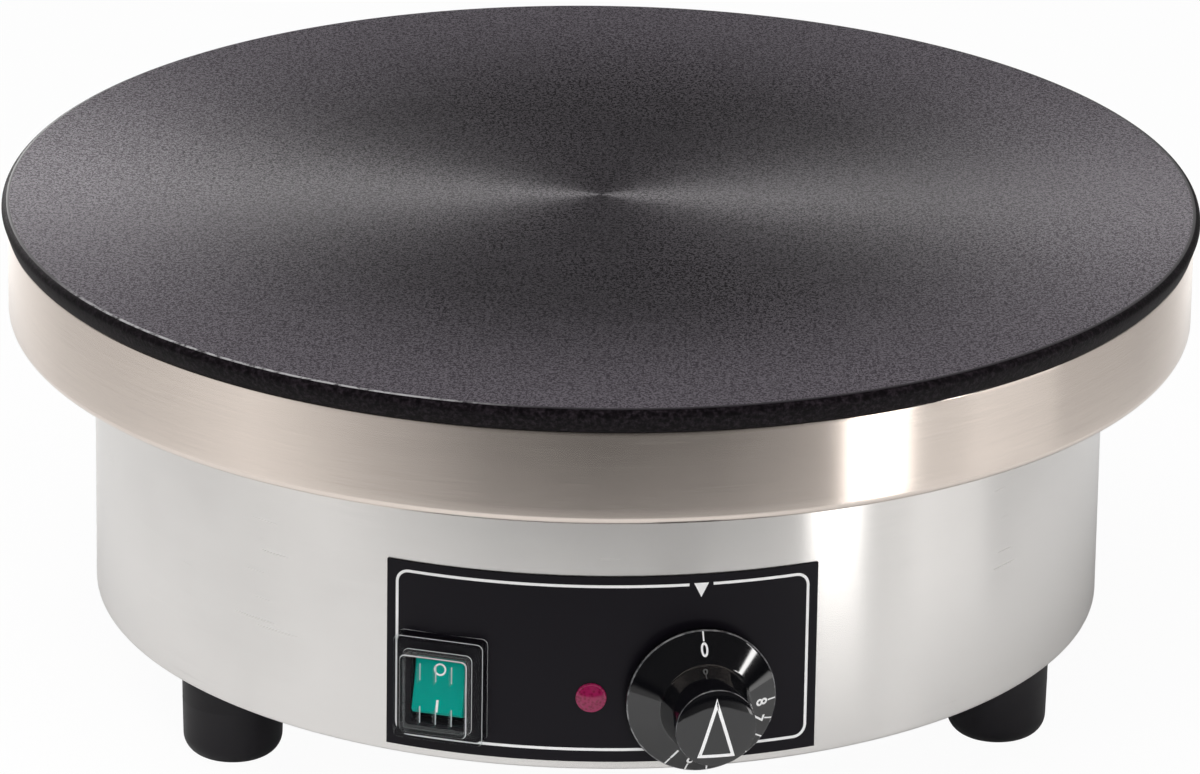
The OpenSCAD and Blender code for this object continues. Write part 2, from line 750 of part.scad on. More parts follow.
// ---- Thermostat on its bracket, with a capillary sensor under the plate ----
bush_r = 5;
bush_l = 8;
bracket_h = 36;
thermostat_w = 38;
thermostat_h = 34;
thermostat_l = 22;
thermostat_front = drum_in_r - 11.5;
thermostat_back = thermostat_front - thermostat_l;
shaft_r = shaft_d / 2;
knob_back = overlay_r + skirt_gap;
skirt_rim_t = 2;
knob_front = knob_back + skirt_rim_t + skirt_h + grip_l;
shaft_from = thermostat_back + 5;
shaft_to = knob_front - 5;
flat_depth = 1.4;
flat_from = knob_back + 5;
module thermostat_body() {
    color(ceramic) facing(around(knob_arc)) difference() {
        union() {
            out_box(thermostat_back, thermostat_front, thermostat_w, thermostat_h, z_control);
            out_pin(thermostat_front - cut, thermostat_front + bush_l, bush_r, z_control);
        }
        out_pin(shaft_from - loose_gap, thermostat_front + bush_l + cut, shaft_r + running_gap, z_control);
        for (side = [-1, 1])
            out_pin(thermostat_front - 7, thermostat_front + cut, small_d / 2 + thread_gap, z_control,
                side * thermostat_screw_pitch / 2);
    }
}
module thermostat_shaft() {
    color(zinc) facing(around(knob_arc)) difference() {
        out_pin(shaft_from, shaft_to, shaft_r, z_control);
        out_box(flat_from, shaft_to + cut, shaft_d + cut, 2 * flat_depth, z_control - shaft_r);
    }
}
// Bent plate, its two ears welded inside the drum's wall
module thermostat_bracket() {
    color(zinc) facing(around(knob_arc)) difference() {
        union() {
            out_box(thermostat_front, thermostat_front + sheet_t, thermostat_w + 2, bracket_h, z_control);
            intersection() {
                for (side = [-1, 1])
                    out_box(thermostat_front, drum_r, thermostat_w + 2, sheet_t,
                        z_control + side * (bracket_h + sheet_t) / 2);
                cylinder(r = drum_in_r, h = z_top);
            }
        }
        out_pin(thermostat_front - cut, thermostat_front + sheet_t + cut, bush_r + hole_gap, z_control);
        for (side = [-1, 1])
            out_pin(thermostat_front - cut, thermostat_front + sheet_t + cut, small_d / 2 + hole_gap,
                z_control, side * thermostat_screw_pitch / 2);
    }
}
module thermostat_screws() {
    color(zinc) facing(around(knob_arc)) for (side = [-1, 1]) {
        x = side * thermostat_screw_pitch / 2;
        out_pin(thermostat_front - 6, thermostat_front + sheet_t, small_d / 2, z_control, x);
        out_pin(thermostat_front + sheet_t, thermostat_front + sheet_t + 2.4, small_d * 0.9, z_control, x);
    }
}
thermostat_tab_x = 10;
thermostat_tab_z = 9;
module thermostat_tabs() {
    color(brass) facing(around(knob_arc))
        for (k = [-1:1]) blade(thermostat_back, k * thermostat_tab_x, z_control + thermostat_tab_z);
}
// Turned profile along the knob's axis: hollow skirt, solid grip, bore for the shaft
module knob() {
    skirt_r = skirt_d / 2;
    foot_r = grip_foot_d / 2;
    front_r = grip_front_d / 2;
    cone_z = skirt_rim_t + skirt_h;
    wall = 1.8;
    hub_r = shaft_r + 3.5;
    front_z = cone_z + grip_l;
    edge_r = 1;
    color(black) facing(around(knob_arc)) difference() {
        translate([0, -knob_back, z_control]) rotate([90, 0, 0]) rotate_extrude() polygon(concat(
            [[0, 0.4], [hub_r, 0.4], [hub_r, cone_z - wall], [foot_r - wall, cone_z - wall],
             [skirt_r - wall, 0], [skirt_r, 0], [skirt_r, skirt_rim_t], [foot_r, cone_z]],
            arc_points([front_r - edge_r, front_z - edge_r], edge_r, 0, 90, 4),
            [[0, front_z]]));
        difference() {
            out_pin(knob_back - cut, shaft_to + seat_gap, shaft_r, z_control);
            out_box(flat_from, shaft_to + cut, shaft_d + cut, 2 * flat_depth, z_control - shaft_r);
        }
    }
}

// ---- Tubes that follow a route: leads and the capillary ----
function unit(v) = v / norm(v);
// A route with each corner rounded by a curve that starts and ends this far from it
function rounded(pts, d, steps = 4) = concat(
    [pts[0]],
    [for (i = [1:len(pts) - 2])
        let (b = pts[i], a = b + unit(pts[i - 1] - b) * d, c = b + unit(pts[i + 1] - b) * d)
            for (k = [0:steps]) let (t = k / steps)
                (1 - t) * (1 - t) * a + 2 * t * (1 - t) * b + t * t * c],
    [pts[len(pts) - 1]]);
function tangents(p) = [for (i = [0:len(p) - 1]) unit(p[min(i + 1, len(p) - 1)] - p[max(i - 1, 0)])];
// Carries one side direction along the route without twist
function sides(t, i = 0, list = []) =
    i == len(t) ? list :
    let (v = i == 0 ? [0.37, 0.53, 0.76] : list[i - 1], n = unit(v - (v * t[i]) * t[i]))
        sides(t, i + 1, concat(list, [n]));
module tube(route, d, bend) {
    p = rounded(route, bend);
    t = tangents(p);
    n = sides(t);
    count = 8;
    rings = len(p);
    points = [for (i = [0:rings - 1])
        for (k = [0:count - 1])
            let (a = 360 * k / count) p[i] + d / 2 * (cos(a) * n[i] + sin(a) * cross(t[i], n[i]))];
    walls = [for (i = [0:rings - 2])
        for (k = [0:count - 1])
            let (a = i * count + k, b = i * count + (k + 1) % count)
                [a, a + count, b + count, b]];
    ends = [[for (k = [0:count - 1]) k], [for (k = [count - 1:-1:0]) (rings - 1) * count + k]];
    polyhedron(points = points, faces = concat(walls, ends), convexity = 8);
}

// ---- Sensor bulb in its clip, and the capillary down to the thermostat ----
capillary_d = 2;
capillary_x = 12;
capillary_out = thermostat_back + 10;
module sensor_bulb() {
    color(copper) translate(bulb_mid - bulb_dir * bulb_l / 2) rotate([0, 0, bulb_angle])
        rotate([-90, 0, 0]) cylinder(d = bulb_d, h = bulb_l);
}
module bulb_clip() {
    color(zinc) rotate([0, 0, bulb_angle]) difference() {
        translate([bulb_r - clip_over, -clip_w / 2, z_under - clip_boss_h - clip_t])
            cube([clip_screw_r - bulb_r + 2 * clip_over, clip_w, clip_t]);
        translate([clip_screw_r, 0, z_under - clip_boss_h - clip_t - cut])
            cylinder(d = small_d + 2 * hole_gap, h = clip_t + 2 * cut);
    }
}
module bulb_screw() {
    z = z_under - clip_boss_h - clip_t;
    color(zinc) translate(polar(clip_screw_r, bulb_angle, 0)) {
        translate([0, 0, z - small_head_h]) cylinder(d = 2 * small_d, h = small_head_h);
        translate([0, 0, z]) cylinder(d = small_d, h = clip_t + clip_boss_h + clip_screw_in);
    }
}
module capillary() {
    az = around(knob_arc);
    foot = facing_point(az, capillary_x, capillary_out, z_control + thermostat_h / 2);
    run_drop = 24;
    run_z = z_pan - run_drop;
    riser = [capillary_riser[0], capillary_riser[1], 0];
    color(copper) tube([
        foot, [foot[0], foot[1], run_z], [riser[0], riser[1], run_z],
        [riser[0], riser[1], z_bulb], bulb_mid - bulb_dir * bulb_l / 2], capillary_d, 7);
}

// ---- Terminal block and earth stud on the base ----
block = [44, 20, 16];
block_y = 100;
block_pitch = 14;
block_front = block_y - block[1] / 2;
block_row = 5;
block_screw_depth = 6;
block_screw_d = 5;
block_screw_h = 4;
block_screw_z = z_floor + block[2] - block_screw_depth;
lead_lift = 7;
lead_z = z_floor + lead_lift;
module terminal_block() {
    color(ceramic) difference() {
        translate([-block[0] / 2, block_front, z_floor]) cube(block);
        for (k = [-1:1])
            for (row = [-1, 1])
                translate([k * block_pitch, block_y + row * block_row, block_screw_z])
                    cylinder(d = block_screw_d + 2 * hole_gap, h = block_screw_depth + cut);
    }
}
module terminal_screws() {
    color(brass) for (k = [-1:1])
        for (row = [-1, 1])
            translate([k * block_pitch, block_y + row * block_row, block_screw_z])
                difference() {
                    cylinder(d = block_screw_d, h = block_screw_h);
                    translate([-block_screw_d, -0.5, block_screw_h - 1])
                        cube([2 * block_screw_d, 1, 1 + cut]);
                }
}
earth_at = [30, 55];
earth_stud_h = 14;
module earth_stud() {
    color(zinc) translate([earth_at[0], earth_at[1], z_floor]) cylinder(d = stud_d, h = earth_stud_h);
}
module earth_nut() {
    color(zinc) translate([earth_at[0], earth_at[1], 0]) hex_nut(10, stud_d, clamp_nut_h, z_floor);
}

// ---- Cable gland at the rear of the drum ----
gland_az = 180;
gland_hex = gland_thread_d + 5;
gland_body_l = 8;
gland_cap_l = 14;
gland_nose_l = 5;
gland_nut_l = 5;
gland_inside_l = 9;
module out_hex(from, to, flats, z) {
    translate([0, -from, z]) rotate([90, 0, 0]) rotate([0, 0, 30])
        cylinder(d = flats / cos(30), h = to - from, $fn = 6);
}
module gland_bore() {
    from = drum_in_r - gland_inside_l - cut;
    to = drum_r + gland_body_l + gland_cap_l + cut;
    out_pin(from, to, gland_bore_d / 2, z_gland);
}
module gland_body() {
    color(black) facing(gland_az) difference() {
        union() {
            difference() {
                out_hex(drum_r - 2, drum_r + gland_body_l, gland_hex, z_gland);
                cylinder(r = drum_r, h = z_top);
            }
            out_pin(drum_in_r - gland_inside_l, drum_r + gland_body_l, gland_thread_d / 2, z_gland);
        }
        gland_bore();
    }
}
module gland_cap() {
    from = drum_r + gland_body_l;
    color(black) facing(gland_az) difference() {
        union() {
            out_hex(from, from + gland_cap_l - gland_nose_l, gland_hex, z_gland);
            out_pin(from, from + gland_cap_l, gland_thread_d / 2 + 0.5, z_gland);
        }
        gland_bore();
    }
}
module gland_locknut() {
    color(black) facing(gland_az) difference() {
        intersection() {
            out_hex(drum_in_r - gland_nut_l, drum_r, gland_hex + 1, z_gland);
            cylinder(r = drum_in_r, h = z_top);
        }
        out_pin(drum_in_r - gland_nut_l - cut, drum_r + cut, gland_thread_d / 2 + thread_gap, z_gland);
    }
}

// Bare aluminium plate at the rear of the drum
plate_label = [60, 36, 0.4];
module rating_plate() {
    span = plate_label[0] / drum_r * 180 / PI;
    color(zinc) rotate([0, 0, 60 - span / 2]) rotate_extrude(angle = span)
        translate([drum_r + glue_t, z_control - plate_label[1] / 2])
            square([plate_label[2], plate_label[1]]);
}

// ---- Leads, each from one terminal's end face to the next ----
lead_d = 2.6;
lead_bend = 7;
lead_out = 16;
function switch_at(x, z, back) =
    facing_point(around(switch_arc), x * switch_tab_x, housing_back - tab_l - back,
        z_switch + z * switch_tab_z);
function thermostat_at(x, back) =
    facing_point(around(knob_arc), x * thermostat_tab_x, thermostat_back - tab_l - back,
        z_control + thermostat_tab_z);
function lamp_at(x, back) =
    facing_point(around(lamp_arc), x * lamp_tab_x, lamp_back - tab_l - back, z_control);
module supply_leads() {
    color("saddlebrown") tube([
        [-block_pitch, block_front, lead_z], [-block_pitch, block_front - 20, lead_z], [-32, -60, lead_z],
        switch_at(-1, -1, lead_out), switch_at(-1, -1, 0)], lead_d, lead_bend);
    color("royalblue") tube([
        [0, block_front, lead_z], [0, block_front - 24, lead_z], [-16, 30, lead_z], [-16, -70, lead_z],
        switch_at(1, -1, lead_out), switch_at(1, -1, 0)], lead_d, lead_bend);
}
module switch_leads() {
    rise = 22;
    a = switch_at(-1, 1, lead_out);
    b = thermostat_at(-1, lead_out);
    color("saddlebrown") tube([
        switch_at(-1, 1, 0), a, [a[0] + 8, a[1] + 10, a[2] + rise], [b[0] - 8, b[1] + 4, a[2] + rise], b,
        thermostat_at(-1, 0)], lead_d, lead_bend);
}
module element_leads() {
    right = element_legs[0];
    left = element_legs[1];
    run_rise = 34;
    pin_drop = 20;
    run_z = z_control + run_rise;
    drop_z = pin_end_z - pin_drop;
    a = thermostat_at(1, lead_out);
    b = switch_at(1, 1, 14);
    color("saddlebrown") tube([
        thermostat_at(1, 0), a, [30, a[1] + 30, run_z], [30, 70, run_z], [right[0], right[1] - 24, drop_z],
        [right[0], right[1], drop_z], [right[0], right[1], pin_end_z]], lead_d, lead_bend);
    color("royalblue") tube([
        switch_at(1, 1, 0), b, [-24, b[1] + 34, run_z], [-30, 70, run_z], [left[0], left[1] - 24, drop_z],
        [left[0], left[1], drop_z], [left[0], left[1], pin_end_z]], lead_d, lead_bend);
}
module lamp_leads() {
    a = switch_at(1, 0, 12);
    b = lamp_at(-1, 22);
    c = lamp_at(1, 14);
    d = thermostat_at(0, 14);
    color("white") tube([
        switch_at(1, 0, 0), a, b, lamp_at(-1, 0)], lead_d, 5);
    color("white") tube([
        lamp_at(1, 0), c, d, thermostat_at(0, 0)], lead_d, 5);
}
module earth_lead() {
    loop_h = 24;
    color("olivedrab") tube([
        [block_pitch, block_front, lead_z], [block_pitch, block_front - 14, lead_z],
        [earth_at[0] - 4, earth_at[1] + 2, lead_z + loop_h], [earth_at[0], earth_at[1], lead_z + loop_h],
        [earth_at[0], earth_at[1], z_floor + earth_stud_h]], lead_d, 4);
}

cooking_plate();
plate_seal();
upper_casing();
drum();
casing_rivets();
base_plate();
base_screws();
foot_front_left();
foot_front_right();
foot_rear();
foot_screws();
foot_nuts();
element_outer();
element_inner();
element_beads();
element_pins();
element_links();
link_nuts();
clamp_bars();
clamp_studs();
clamp_nuts();
shield_nuts();
insulation_disc();
shield_pan();
tie_rod();
tie_washer();
tie_nut();
control_overlay();
switch_body();
switch_rocker();
switch_tabs();
splash_cover();
lamp_lens();
lamp_holder();
lamp_tabs();
thermostat_body();
thermostat_shaft();
thermostat_bracket();
thermostat_screws();
thermostat_tabs();
knob();
capillary();
sensor_bulb();
bulb_clip();
bulb_screw();
terminal_block();
terminal_screws();
earth_stud();
earth_nut();
gland_body();
gland_cap();
gland_locknut();
rating_plate();
supply_leads();
switch_leads();
element_leads();
lamp_leads();
earth_lead();
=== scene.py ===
import math

import bmesh
import bpy
from mathutils import Matrix, Vector


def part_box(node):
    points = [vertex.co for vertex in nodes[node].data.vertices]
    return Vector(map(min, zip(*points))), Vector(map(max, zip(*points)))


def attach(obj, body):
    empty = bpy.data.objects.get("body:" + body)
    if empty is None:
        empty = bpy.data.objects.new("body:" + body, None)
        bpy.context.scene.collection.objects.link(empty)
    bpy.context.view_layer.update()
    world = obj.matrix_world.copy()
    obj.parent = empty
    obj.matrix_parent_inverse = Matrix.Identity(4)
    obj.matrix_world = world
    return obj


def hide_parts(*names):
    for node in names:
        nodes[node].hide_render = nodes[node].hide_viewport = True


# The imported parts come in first. Everything below is in metres, in their frame, and follows the
# object as it is put together, from the feet up to the dial.
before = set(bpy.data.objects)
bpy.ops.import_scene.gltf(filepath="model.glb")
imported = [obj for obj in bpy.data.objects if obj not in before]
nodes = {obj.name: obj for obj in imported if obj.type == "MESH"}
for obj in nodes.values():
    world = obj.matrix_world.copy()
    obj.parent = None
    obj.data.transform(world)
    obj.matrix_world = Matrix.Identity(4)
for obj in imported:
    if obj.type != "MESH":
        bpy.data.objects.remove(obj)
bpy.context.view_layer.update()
MM = 0.001


# ---- Feet ----
# Three black rubber buffers, moulded with a soft lower edge and a deep pocket for the screw
# that holds each one to the base plate. They are turned pieces with a mould line near the top.
class Value:
    """A shader socket that takes part in sums and products."""

    def __init__(self, finish, socket):
        self.finish, self.socket = finish, socket

    def work(self, operation, *terms):
        """One step of arithmetic on these terms."""
        return self.finish.node("Math", {"operation": operation}, dict(enumerate(terms)))

    def __add__(self, other):
        return self.work("ADD", self, other)

    def __radd__(self, other):
        return self.work("ADD", other, self)

    def __sub__(self, other):
        return self.work("SUBTRACT", self, other)

    def __rsub__(self, other):
        return self.work("SUBTRACT", other, self)

    def __mul__(self, other):
        return self.work("MULTIPLY", self, other)

    def __rmul__(self, other):
        return self.work("MULTIPLY", other, self)

    def limited(self, low, high):
        """0 below low, 1 above high, and a soft step between them."""
        return self.finish.node("MapRange", {"interpolation_type": "SMOOTHSTEP"},
                                {0: self, 1: low, 2: high})


class Finish:
    """One material or the world: its node tree, and the short words that add nodes to it."""

    def __init__(self, name, world=False):
        self.data = (bpy.data.worlds if world else bpy.data.materials).new(name)
        self.data.use_nodes = True
        self.tree = self.data.node_tree
        self.tree.nodes.clear()
        kind = "World" if world else "Material"
        self.output = self.tree.nodes.new("ShaderNodeOutput" + kind)

    def node(self, kind, settings=None, sockets=None, out=0):
        """Adds a node with these settings and socket values, and returns one of its outputs."""
        n = self.tree.nodes.new("ShaderNode" + kind)
        for key, value in (settings or {}).items():
            if key == "stops":
                ramp = n.color_ramp
                while len(ramp.elements) < len(value):
                    ramp.elements.new(0.5)
                for element, (place, level) in zip(ramp.elements, value):
                    element.position = place
                    element.color = (level, level, level, 1)
            else:
                setattr(n, key, value)
        for key, value in (sockets or {}).items():
            self.put(n.inputs[key], value)
        return Value(self, n.outputs[out])

    def put(self, socket, value):
        """Links a socket to a Value, or sets it to a constant."""
        if isinstance(value, Value):
            self.tree.links.new(value.socket, socket)
        elif isinstance(value, tuple) and socket.type == "RGBA":
            socket.default_value = (*value, 1)
        else:
            socket.default_value = value

    def place(self, x=1.0, y=1.0, z=1.0):
        """The point on the object, each axis stretched by its factor."""
        point = self.node("TexCoord", out="Object")
        return self.node("Mapping", {"vector_type": "POINT"}, {"Vector": point, "Scale": (x, y, z)})

    def grain(self, where, scale, detail=2.0, rough=0.5):
        """Soft noise from 0 to 1 at a point."""
        return self.node("TexNoise", {}, {
            "Vector": where, "Scale": scale, "Detail": detail, "Roughness": rough})

    def tint(self, amount, first, second):
        """A color between two others, by amount."""
        return self.node("Mix", {"data_type": "RGBA"}, {0: amount, 6: first, 7: second}, out=2)

    def relief(self, height, depth_mm, strength):
        """A normal that follows this height, so many mm deep."""
        return self.node("Bump", {}, {
            "Height": height, "Distance": depth_mm * MM, "Strength": strength})

    def surface(self, color, roughness, metallic=0.0, *, normal, **fixed):
        """The Principled shader, with the sockets that stay the same all over named in fixed."""
        sockets = {"Base Color": color, "Roughness": roughness, "Metallic": metallic,
                   "Normal": normal}
        sockets.update({key.replace("_", " "): value for key, value in fixed.items()})
        shader = self.node("BsdfPrincipled", {}, sockets)
        self.put(self.output.inputs["Surface"], shader)
        return self.data


def in_scene(name, data):
    """A new object that shows this data."""
    thing = bpy.data.objects.new(name, data)
    bpy.context.scene.collection.objects.link(thing)
    return thing


def to_piece(bm, name, finishes, sharp=30.0):
    """Closes a mesh, smooths all but its sharp edges, and makes the object."""
    bmesh.ops.remove_doubles(bm, verts=bm.verts, dist=1e-6)
    bmesh.ops.recalc_face_normals(bm, faces=bm.faces)
    for face in bm.faces:
        face.smooth = True
    for edge in bm.edges:
        if len(edge.link_faces) == 2 and math.degrees(edge.calc_face_angle(0)) > sharp:
            edge.smooth = False
    mesh = bpy.data.meshes.new(name)
    bm.to_mesh(mesh)
    bm.free()
    for finish in finishes:
        mesh.materials.append(finish)
    return in_scene(name, mesh)


def turned(name, outline, finishes, at=None, steps=192, paint=None, sharp=30.0):
    """A turned solid round Z from (radius, height) points in mm, with at as its place."""
    bm = bmesh.new()
    loops = []
    for radius, height in outline:
        count = 1 if radius < 1e-6 else steps
        loops.append([
            bm.verts.new((radius * MM * math.cos(math.tau * k / steps),
                          radius * MM * math.sin(math.tau * k / steps), height * MM))
            for k in range(count)])
    pairs = list(zip(loops, loops[1:]))
    if len(loops[0]) > 1 and len(loops[-1]) > 1:
        pairs.append((loops[-1], loops[0]))
    for index, (a, b) in enumerate(pairs):
        for k in range(steps):
            corners = [a[k % len(a)], a[(k + 1) % len(a)], b[(k + 1) % len(b)], b[k % len(b)]]
            corners = list(dict.fromkeys(corners))
            if len(corners) > 2:
                face = bm.faces.new(corners)
                face.material_index = paint(index) if paint else 0
    if at is not None:
        bmesh.ops.transform(bm, matrix=at, verts=bm.verts)
    return to_piece(bm, name, finishes, sharp)


def bend(r, z, radius, start, end, steps=6):
    """Points of an arc in an outline, round (r, z) from one angle to another, in degrees."""
    angles = [math.radians(start + (end - start) * k / steps) for k in range(steps + 1)]
    return [(r + radius * math.cos(a), z + radius * math.sin(a)) for a in angles]


rubber = Finish("foot_rubber")
bloom = rubber.grain(rubber.place(), 90.0, 4.0)
pits = rubber.grain(rubber.place(), 2600.0, 2.0)
foot_rubber = rubber.surface(
    rubber.tint(bloom, (0.010, 0.009, 0.011), (0.018, 0.016, 0.019)), 0.34 + 0.16 * bloom,
    normal=rubber.relief(pits, 0.05, 0.35), Specular_IOR_Level=0.28)

pocket_r, pocket_top, hole_r = 6.5, 16, 3.2
toe, mould_z = 7, 19
for name in ("foot_front_left", "foot_front_right", "foot_rear"):
    low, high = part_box(name)
    middle = (low + high) / 2
    foot_r = (high.x - low.x) / 2 / MM
    foot_top = high.z / MM
    foot = turned(name + "_rubber", [
        (pocket_r, pocket_top), (pocket_r, 0.6), (pocket_r + 0.6, 0),
        *bend(foot_r - toe - 0.45, toe, toe, -90, 0, 10),
        (foot_r - 0.2, mould_z), (foot_r - 0.16, mould_z + 0.25),
        (foot_r - 0.16, mould_z + 0.5), (foot_r - 0.2, mould_z + 0.75),
        (foot_r, foot_top), (hole_r, foot_top), (hole_r, pocket_top)],
        [foot_rubber], Matrix.Translation((middle.x, middle.y, 0)), steps=96)
    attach(foot, "body")
    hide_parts(name)


# ---- Zinc steel hardware ----
# Screws, nuts, studs, clamps and the base plate are zinc plated mild steel. The plating is
# pale and a little cloudy, with a faint spangle.
def dress(part, finish):
    """Gives a CAD part this material in place of its own."""
    part.data.materials.clear()
    part.data.materials.append(finish)


zinc = Finish("zinc_plate")
spangle = zinc.node("TexVoronoi", {}, {"Vector": zinc.place(), "Scale": 160.0}, out="Color")
cloud = zinc.grain(zinc.place(), 55.0, 4.0)
zinc_plate = zinc.surface(
    zinc.tint(zinc.tint(cloud, spangle, (0.5, 0.5, 0.5)), (0.52, 0.53, 0.55), (0.70, 0.71, 0.72)),
    0.30 + 0.20 * cloud, 1.0, normal=zinc.relief(cloud, 0.03, 0.5))
for name in ("base_plate", "base_screws", "foot_screws", "foot_nuts", "element_pins", "link_nuts",
             "clamp_bars", "clamp_studs", "clamp_nuts", "shield_nuts", "tie_rod", "tie_washer",
             "tie_nut", "thermostat_bracket", "thermostat_screws", "thermostat_shaft", "bulb_clip",
             "bulb_screw", "earth_stud", "earth_nut", "casing_rivets"):
    dress(nodes[name], zinc_plate)


# ---- Drum ----
# A band of stainless sheet rolled round, with a flange at its top and its bottom edge folded
# in. It is brushed round, so its grain runs level.
def brushed(name, color, streak, dull):
    """Stainless steel with level grain: short fine lines and a few longer scratches."""
    steel = Finish(name)
    fine = steel.grain(steel.place(45, 45, 4200), 1.0, 3.0, 0.7)
    broad = steel.grain(steel.place(18, 18, 900), 1.0, 2.0, 0.5)
    scratch = steel.grain(steel.place(26, 26, 1500), 1.0, 1.0, 0.4).limited(0.70, 0.78)
    smudge = steel.grain(steel.place(), 14.0, 3.0).limited(0.45, 0.75)
    tone = 0.75 * fine + 0.25 * broad
    dark = tuple(c * (1 - streak) for c in color)
    pale = tuple(min(1.0, c * (1 + streak)) for c in color)
    return steel.surface(
        steel.tint(tone.limited(0.3, 0.7), dark, pale),
        dull + 0.06 * (fine - 0.5) + 0.04 * smudge + 0.04 * scratch, 1.0,
        normal=steel.relief(fine + 0.25 * scratch, 0.008, 0.2),
        Anisotropic=0.9, Anisotropic_Rotation=0.25)


drum_low, drum_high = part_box("drum")
drum_r = drum_high.x / MM
drum_foot = drum_low.z / MM
drum_top = drum_high.z / MM
sheet, flange, hem = 1.2, 8.8, 3
drum_steel = brushed("drum_steel", (0.82, 0.80, 0.78), 0.03, 0.22)
drum = turned("drum_band", [
    (drum_r - flange, drum_top), (drum_r - flange, drum_top - sheet),
    (drum_r - sheet, drum_top - sheet), (drum_r - sheet, drum_foot + sheet),
    (drum_r - hem, drum_foot + sheet), (drum_r - hem, drum_foot), (drum_r - 1.0, drum_foot),
    *bend(drum_r - 0.9, drum_foot + 0.9, 0.9, -80, 0, 5),
    (drum_r, drum_foot + 2.6), (drum_r, drum_top - 1.5), (drum_r, drum_top - 0.5),
    (drum_r - 0.15, drum_top - 0.15), (drum_r - 0.5, drum_top)],
    [drum_steel], steps=288, sharp=40)
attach(drum, "body")
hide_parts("drum")


# ---- Upper casing ----
# A spun stainless cup, wider than the drum, with a rounded lower edge. It stands on the drum's
# flange and a ledge inside its top carries the plate. It is brushed like the drum.
case_low, case_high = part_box("upper_casing")
case_r = case_high.x / MM
case_foot = case_low.z / MM
case_top = case_high.z / MM
case_bend = 3
ledge, ledge_drop = 10, 1.8
casing_steel = brushed("casing_steel", (0.82, 0.73, 0.665), 0.035, 0.20)
casing = turned("casing_cup", [
    (drum_r - flange, case_foot + sheet), (drum_r - flange, case_foot),
    *bend(case_r - case_bend, case_foot + case_bend, case_bend, -90, 0, 12),
    (case_r, case_foot + 2 * case_bend), (case_r, case_top - 1.4),
    *bend(case_r - 0.4, case_top - 0.4, 0.4, 0, 90, 4),
    (case_r - sheet, case_top), (case_r - sheet, case_top - ledge_drop),
    (case_r - sheet - ledge, case_top - ledge_drop),
    (case_r - sheet - ledge, case_top - ledge_drop - sheet),
    (case_r - sheet, case_top - ledge_drop - sheet),
    *bend(case_r - case_bend, case_foot + case_bend, 1.8, 0, -90)],
    [casing_steel], steps=320, sharp=40)
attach(casing, "body")
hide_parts("upper_casing")


# ---- Cooking plate ----
# A thick disc of cast iron. Its top is faced on a lathe, which leaves fine rings, and then
# seasoned dark. The rim keeps its rough cast skin, with a machined edge between them that carries a
# painted highlight at the front left.
plate_low, plate_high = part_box("cooking_plate")
plate_r = plate_high.x / MM
plate_top = plate_high.z / MM


def from_axis(finish):
    """Distance from the plate's axis, in metres."""
    point = finish.node("TexCoord", out="Object")
    flat = finish.node("VectorMath", {"operation": "MULTIPLY"}, {0: point, 1: (1, 1, 0)})
    return finish.node("VectorMath", {"operation": "LENGTH"}, {0: flat}, out="Value")


def rings(finish, pitch_mm, wander):
    """Lathe marks: noise that changes fast outwards and slowly round the plate."""
    point = finish.node("TexCoord", out="Object")
    slow = finish.node("VectorMath", {"operation": "SCALE"}, {0: point, "Scale": wander})
    out = from_axis(finish) * (1 / (pitch_mm * MM))
    along = finish.node("CombineXYZ", {}, {"X": out, "Y": 0.0, "Z": 0.0})
    where = finish.node("VectorMath", {"operation": "ADD"}, {0: slow, 1: along})
    return finish.grain(where, 1.0, 2.0, 0.6)


faced = Finish("seasoned_iron")
lathe = rings(faced, 0.55, 9.0)
band = rings(faced, 6.0, 3.0)
pores = faced.grain(faced.place(), 820.0, 2.0, 0.65).limited(0.38, 0.50)
specks = faced.grain(faced.place(), 1800.0, 1.0, 0.5).limited(0.40, 0.50)
patina = faced.grain(faced.place(), 16.0, 4.0)
pitted = pores * specks
inner_tone = faced.tint(patina.limited(0.3, 0.7), (0.021, 0.018, 0.023), (0.030, 0.026, 0.032))
outer_share = from_axis(faced).limited(0.09, 0.20)
iron_tone = faced.tint(outer_share, inner_tone, (0.108, 0.096, 0.113))
pit_tone = faced.tint(outer_share, (0.003, 0.0025, 0.0035), (0.034, 0.029, 0.036))
seasoned_iron = faced.surface(
    faced.tint(pitted, pit_tone, iron_tone),
    0.36 + 0.06 * (lathe - 0.5) + 0.28 * (1 - pitted) + 0.04 * (band - 0.5), 0.2,
    normal=faced.relief(lathe + 0.8 * pitted, 0.03, 0.34),
    Anisotropic=0.8, Anisotropic_Rotation=0.25,
    Specular_IOR_Level=0.38, Specular_Tint=(1.0, 0.93, 1.0))

skin = Finish("cast_rim")
cast = skin.grain(skin.place(), 700.0, 5.0, 0.7)
lumps = skin.grain(skin.place(), 230.0, 2.0, 0.5)
rough_rim = skin.surface(
    skin.tint(cast.limited(0.4, 0.75), (0.002, 0.0015, 0.002), (0.026, 0.020, 0.025)),
    0.50 + 0.25 * cast, 0.1, normal=skin.relief(cast + lumps, 0.22, 0.8),
    Specular_IOR_Level=0.12)

# The edge carries a painted highlight in patches at the front left, and is dark elsewhere.
edge = Finish("turned_edge")
edge_point = edge.node("TexCoord", out="Object")
front_left = (-0.57, -0.82, 0)
edge_side = edge.node("VectorMath", {"operation": "DOT_PRODUCT"},
                      {0: edge_point, 1: front_left}, out="Value")
# Painted highlight: noise limited to the front-left side of the edge.
front_left_glint = (edge.grain(edge.place(210, 210, 60), 1.0, 3.0, 0.7).limited(0.36, 0.56)
        * edge_side.limited(0.170, 0.192))
turned_edge = edge.surface(
    edge.tint(front_left_glint, (0.022, 0.019, 0.023), (0.46, 0.45, 0.46)), 0.46 - 0.14 * front_left_glint, 0.3,
    normal=edge.relief(rings(edge, 0.3, 30.0), 0.04, 0.6),
    Anisotropic=0.5, Anisotropic_Rotation=0.25)

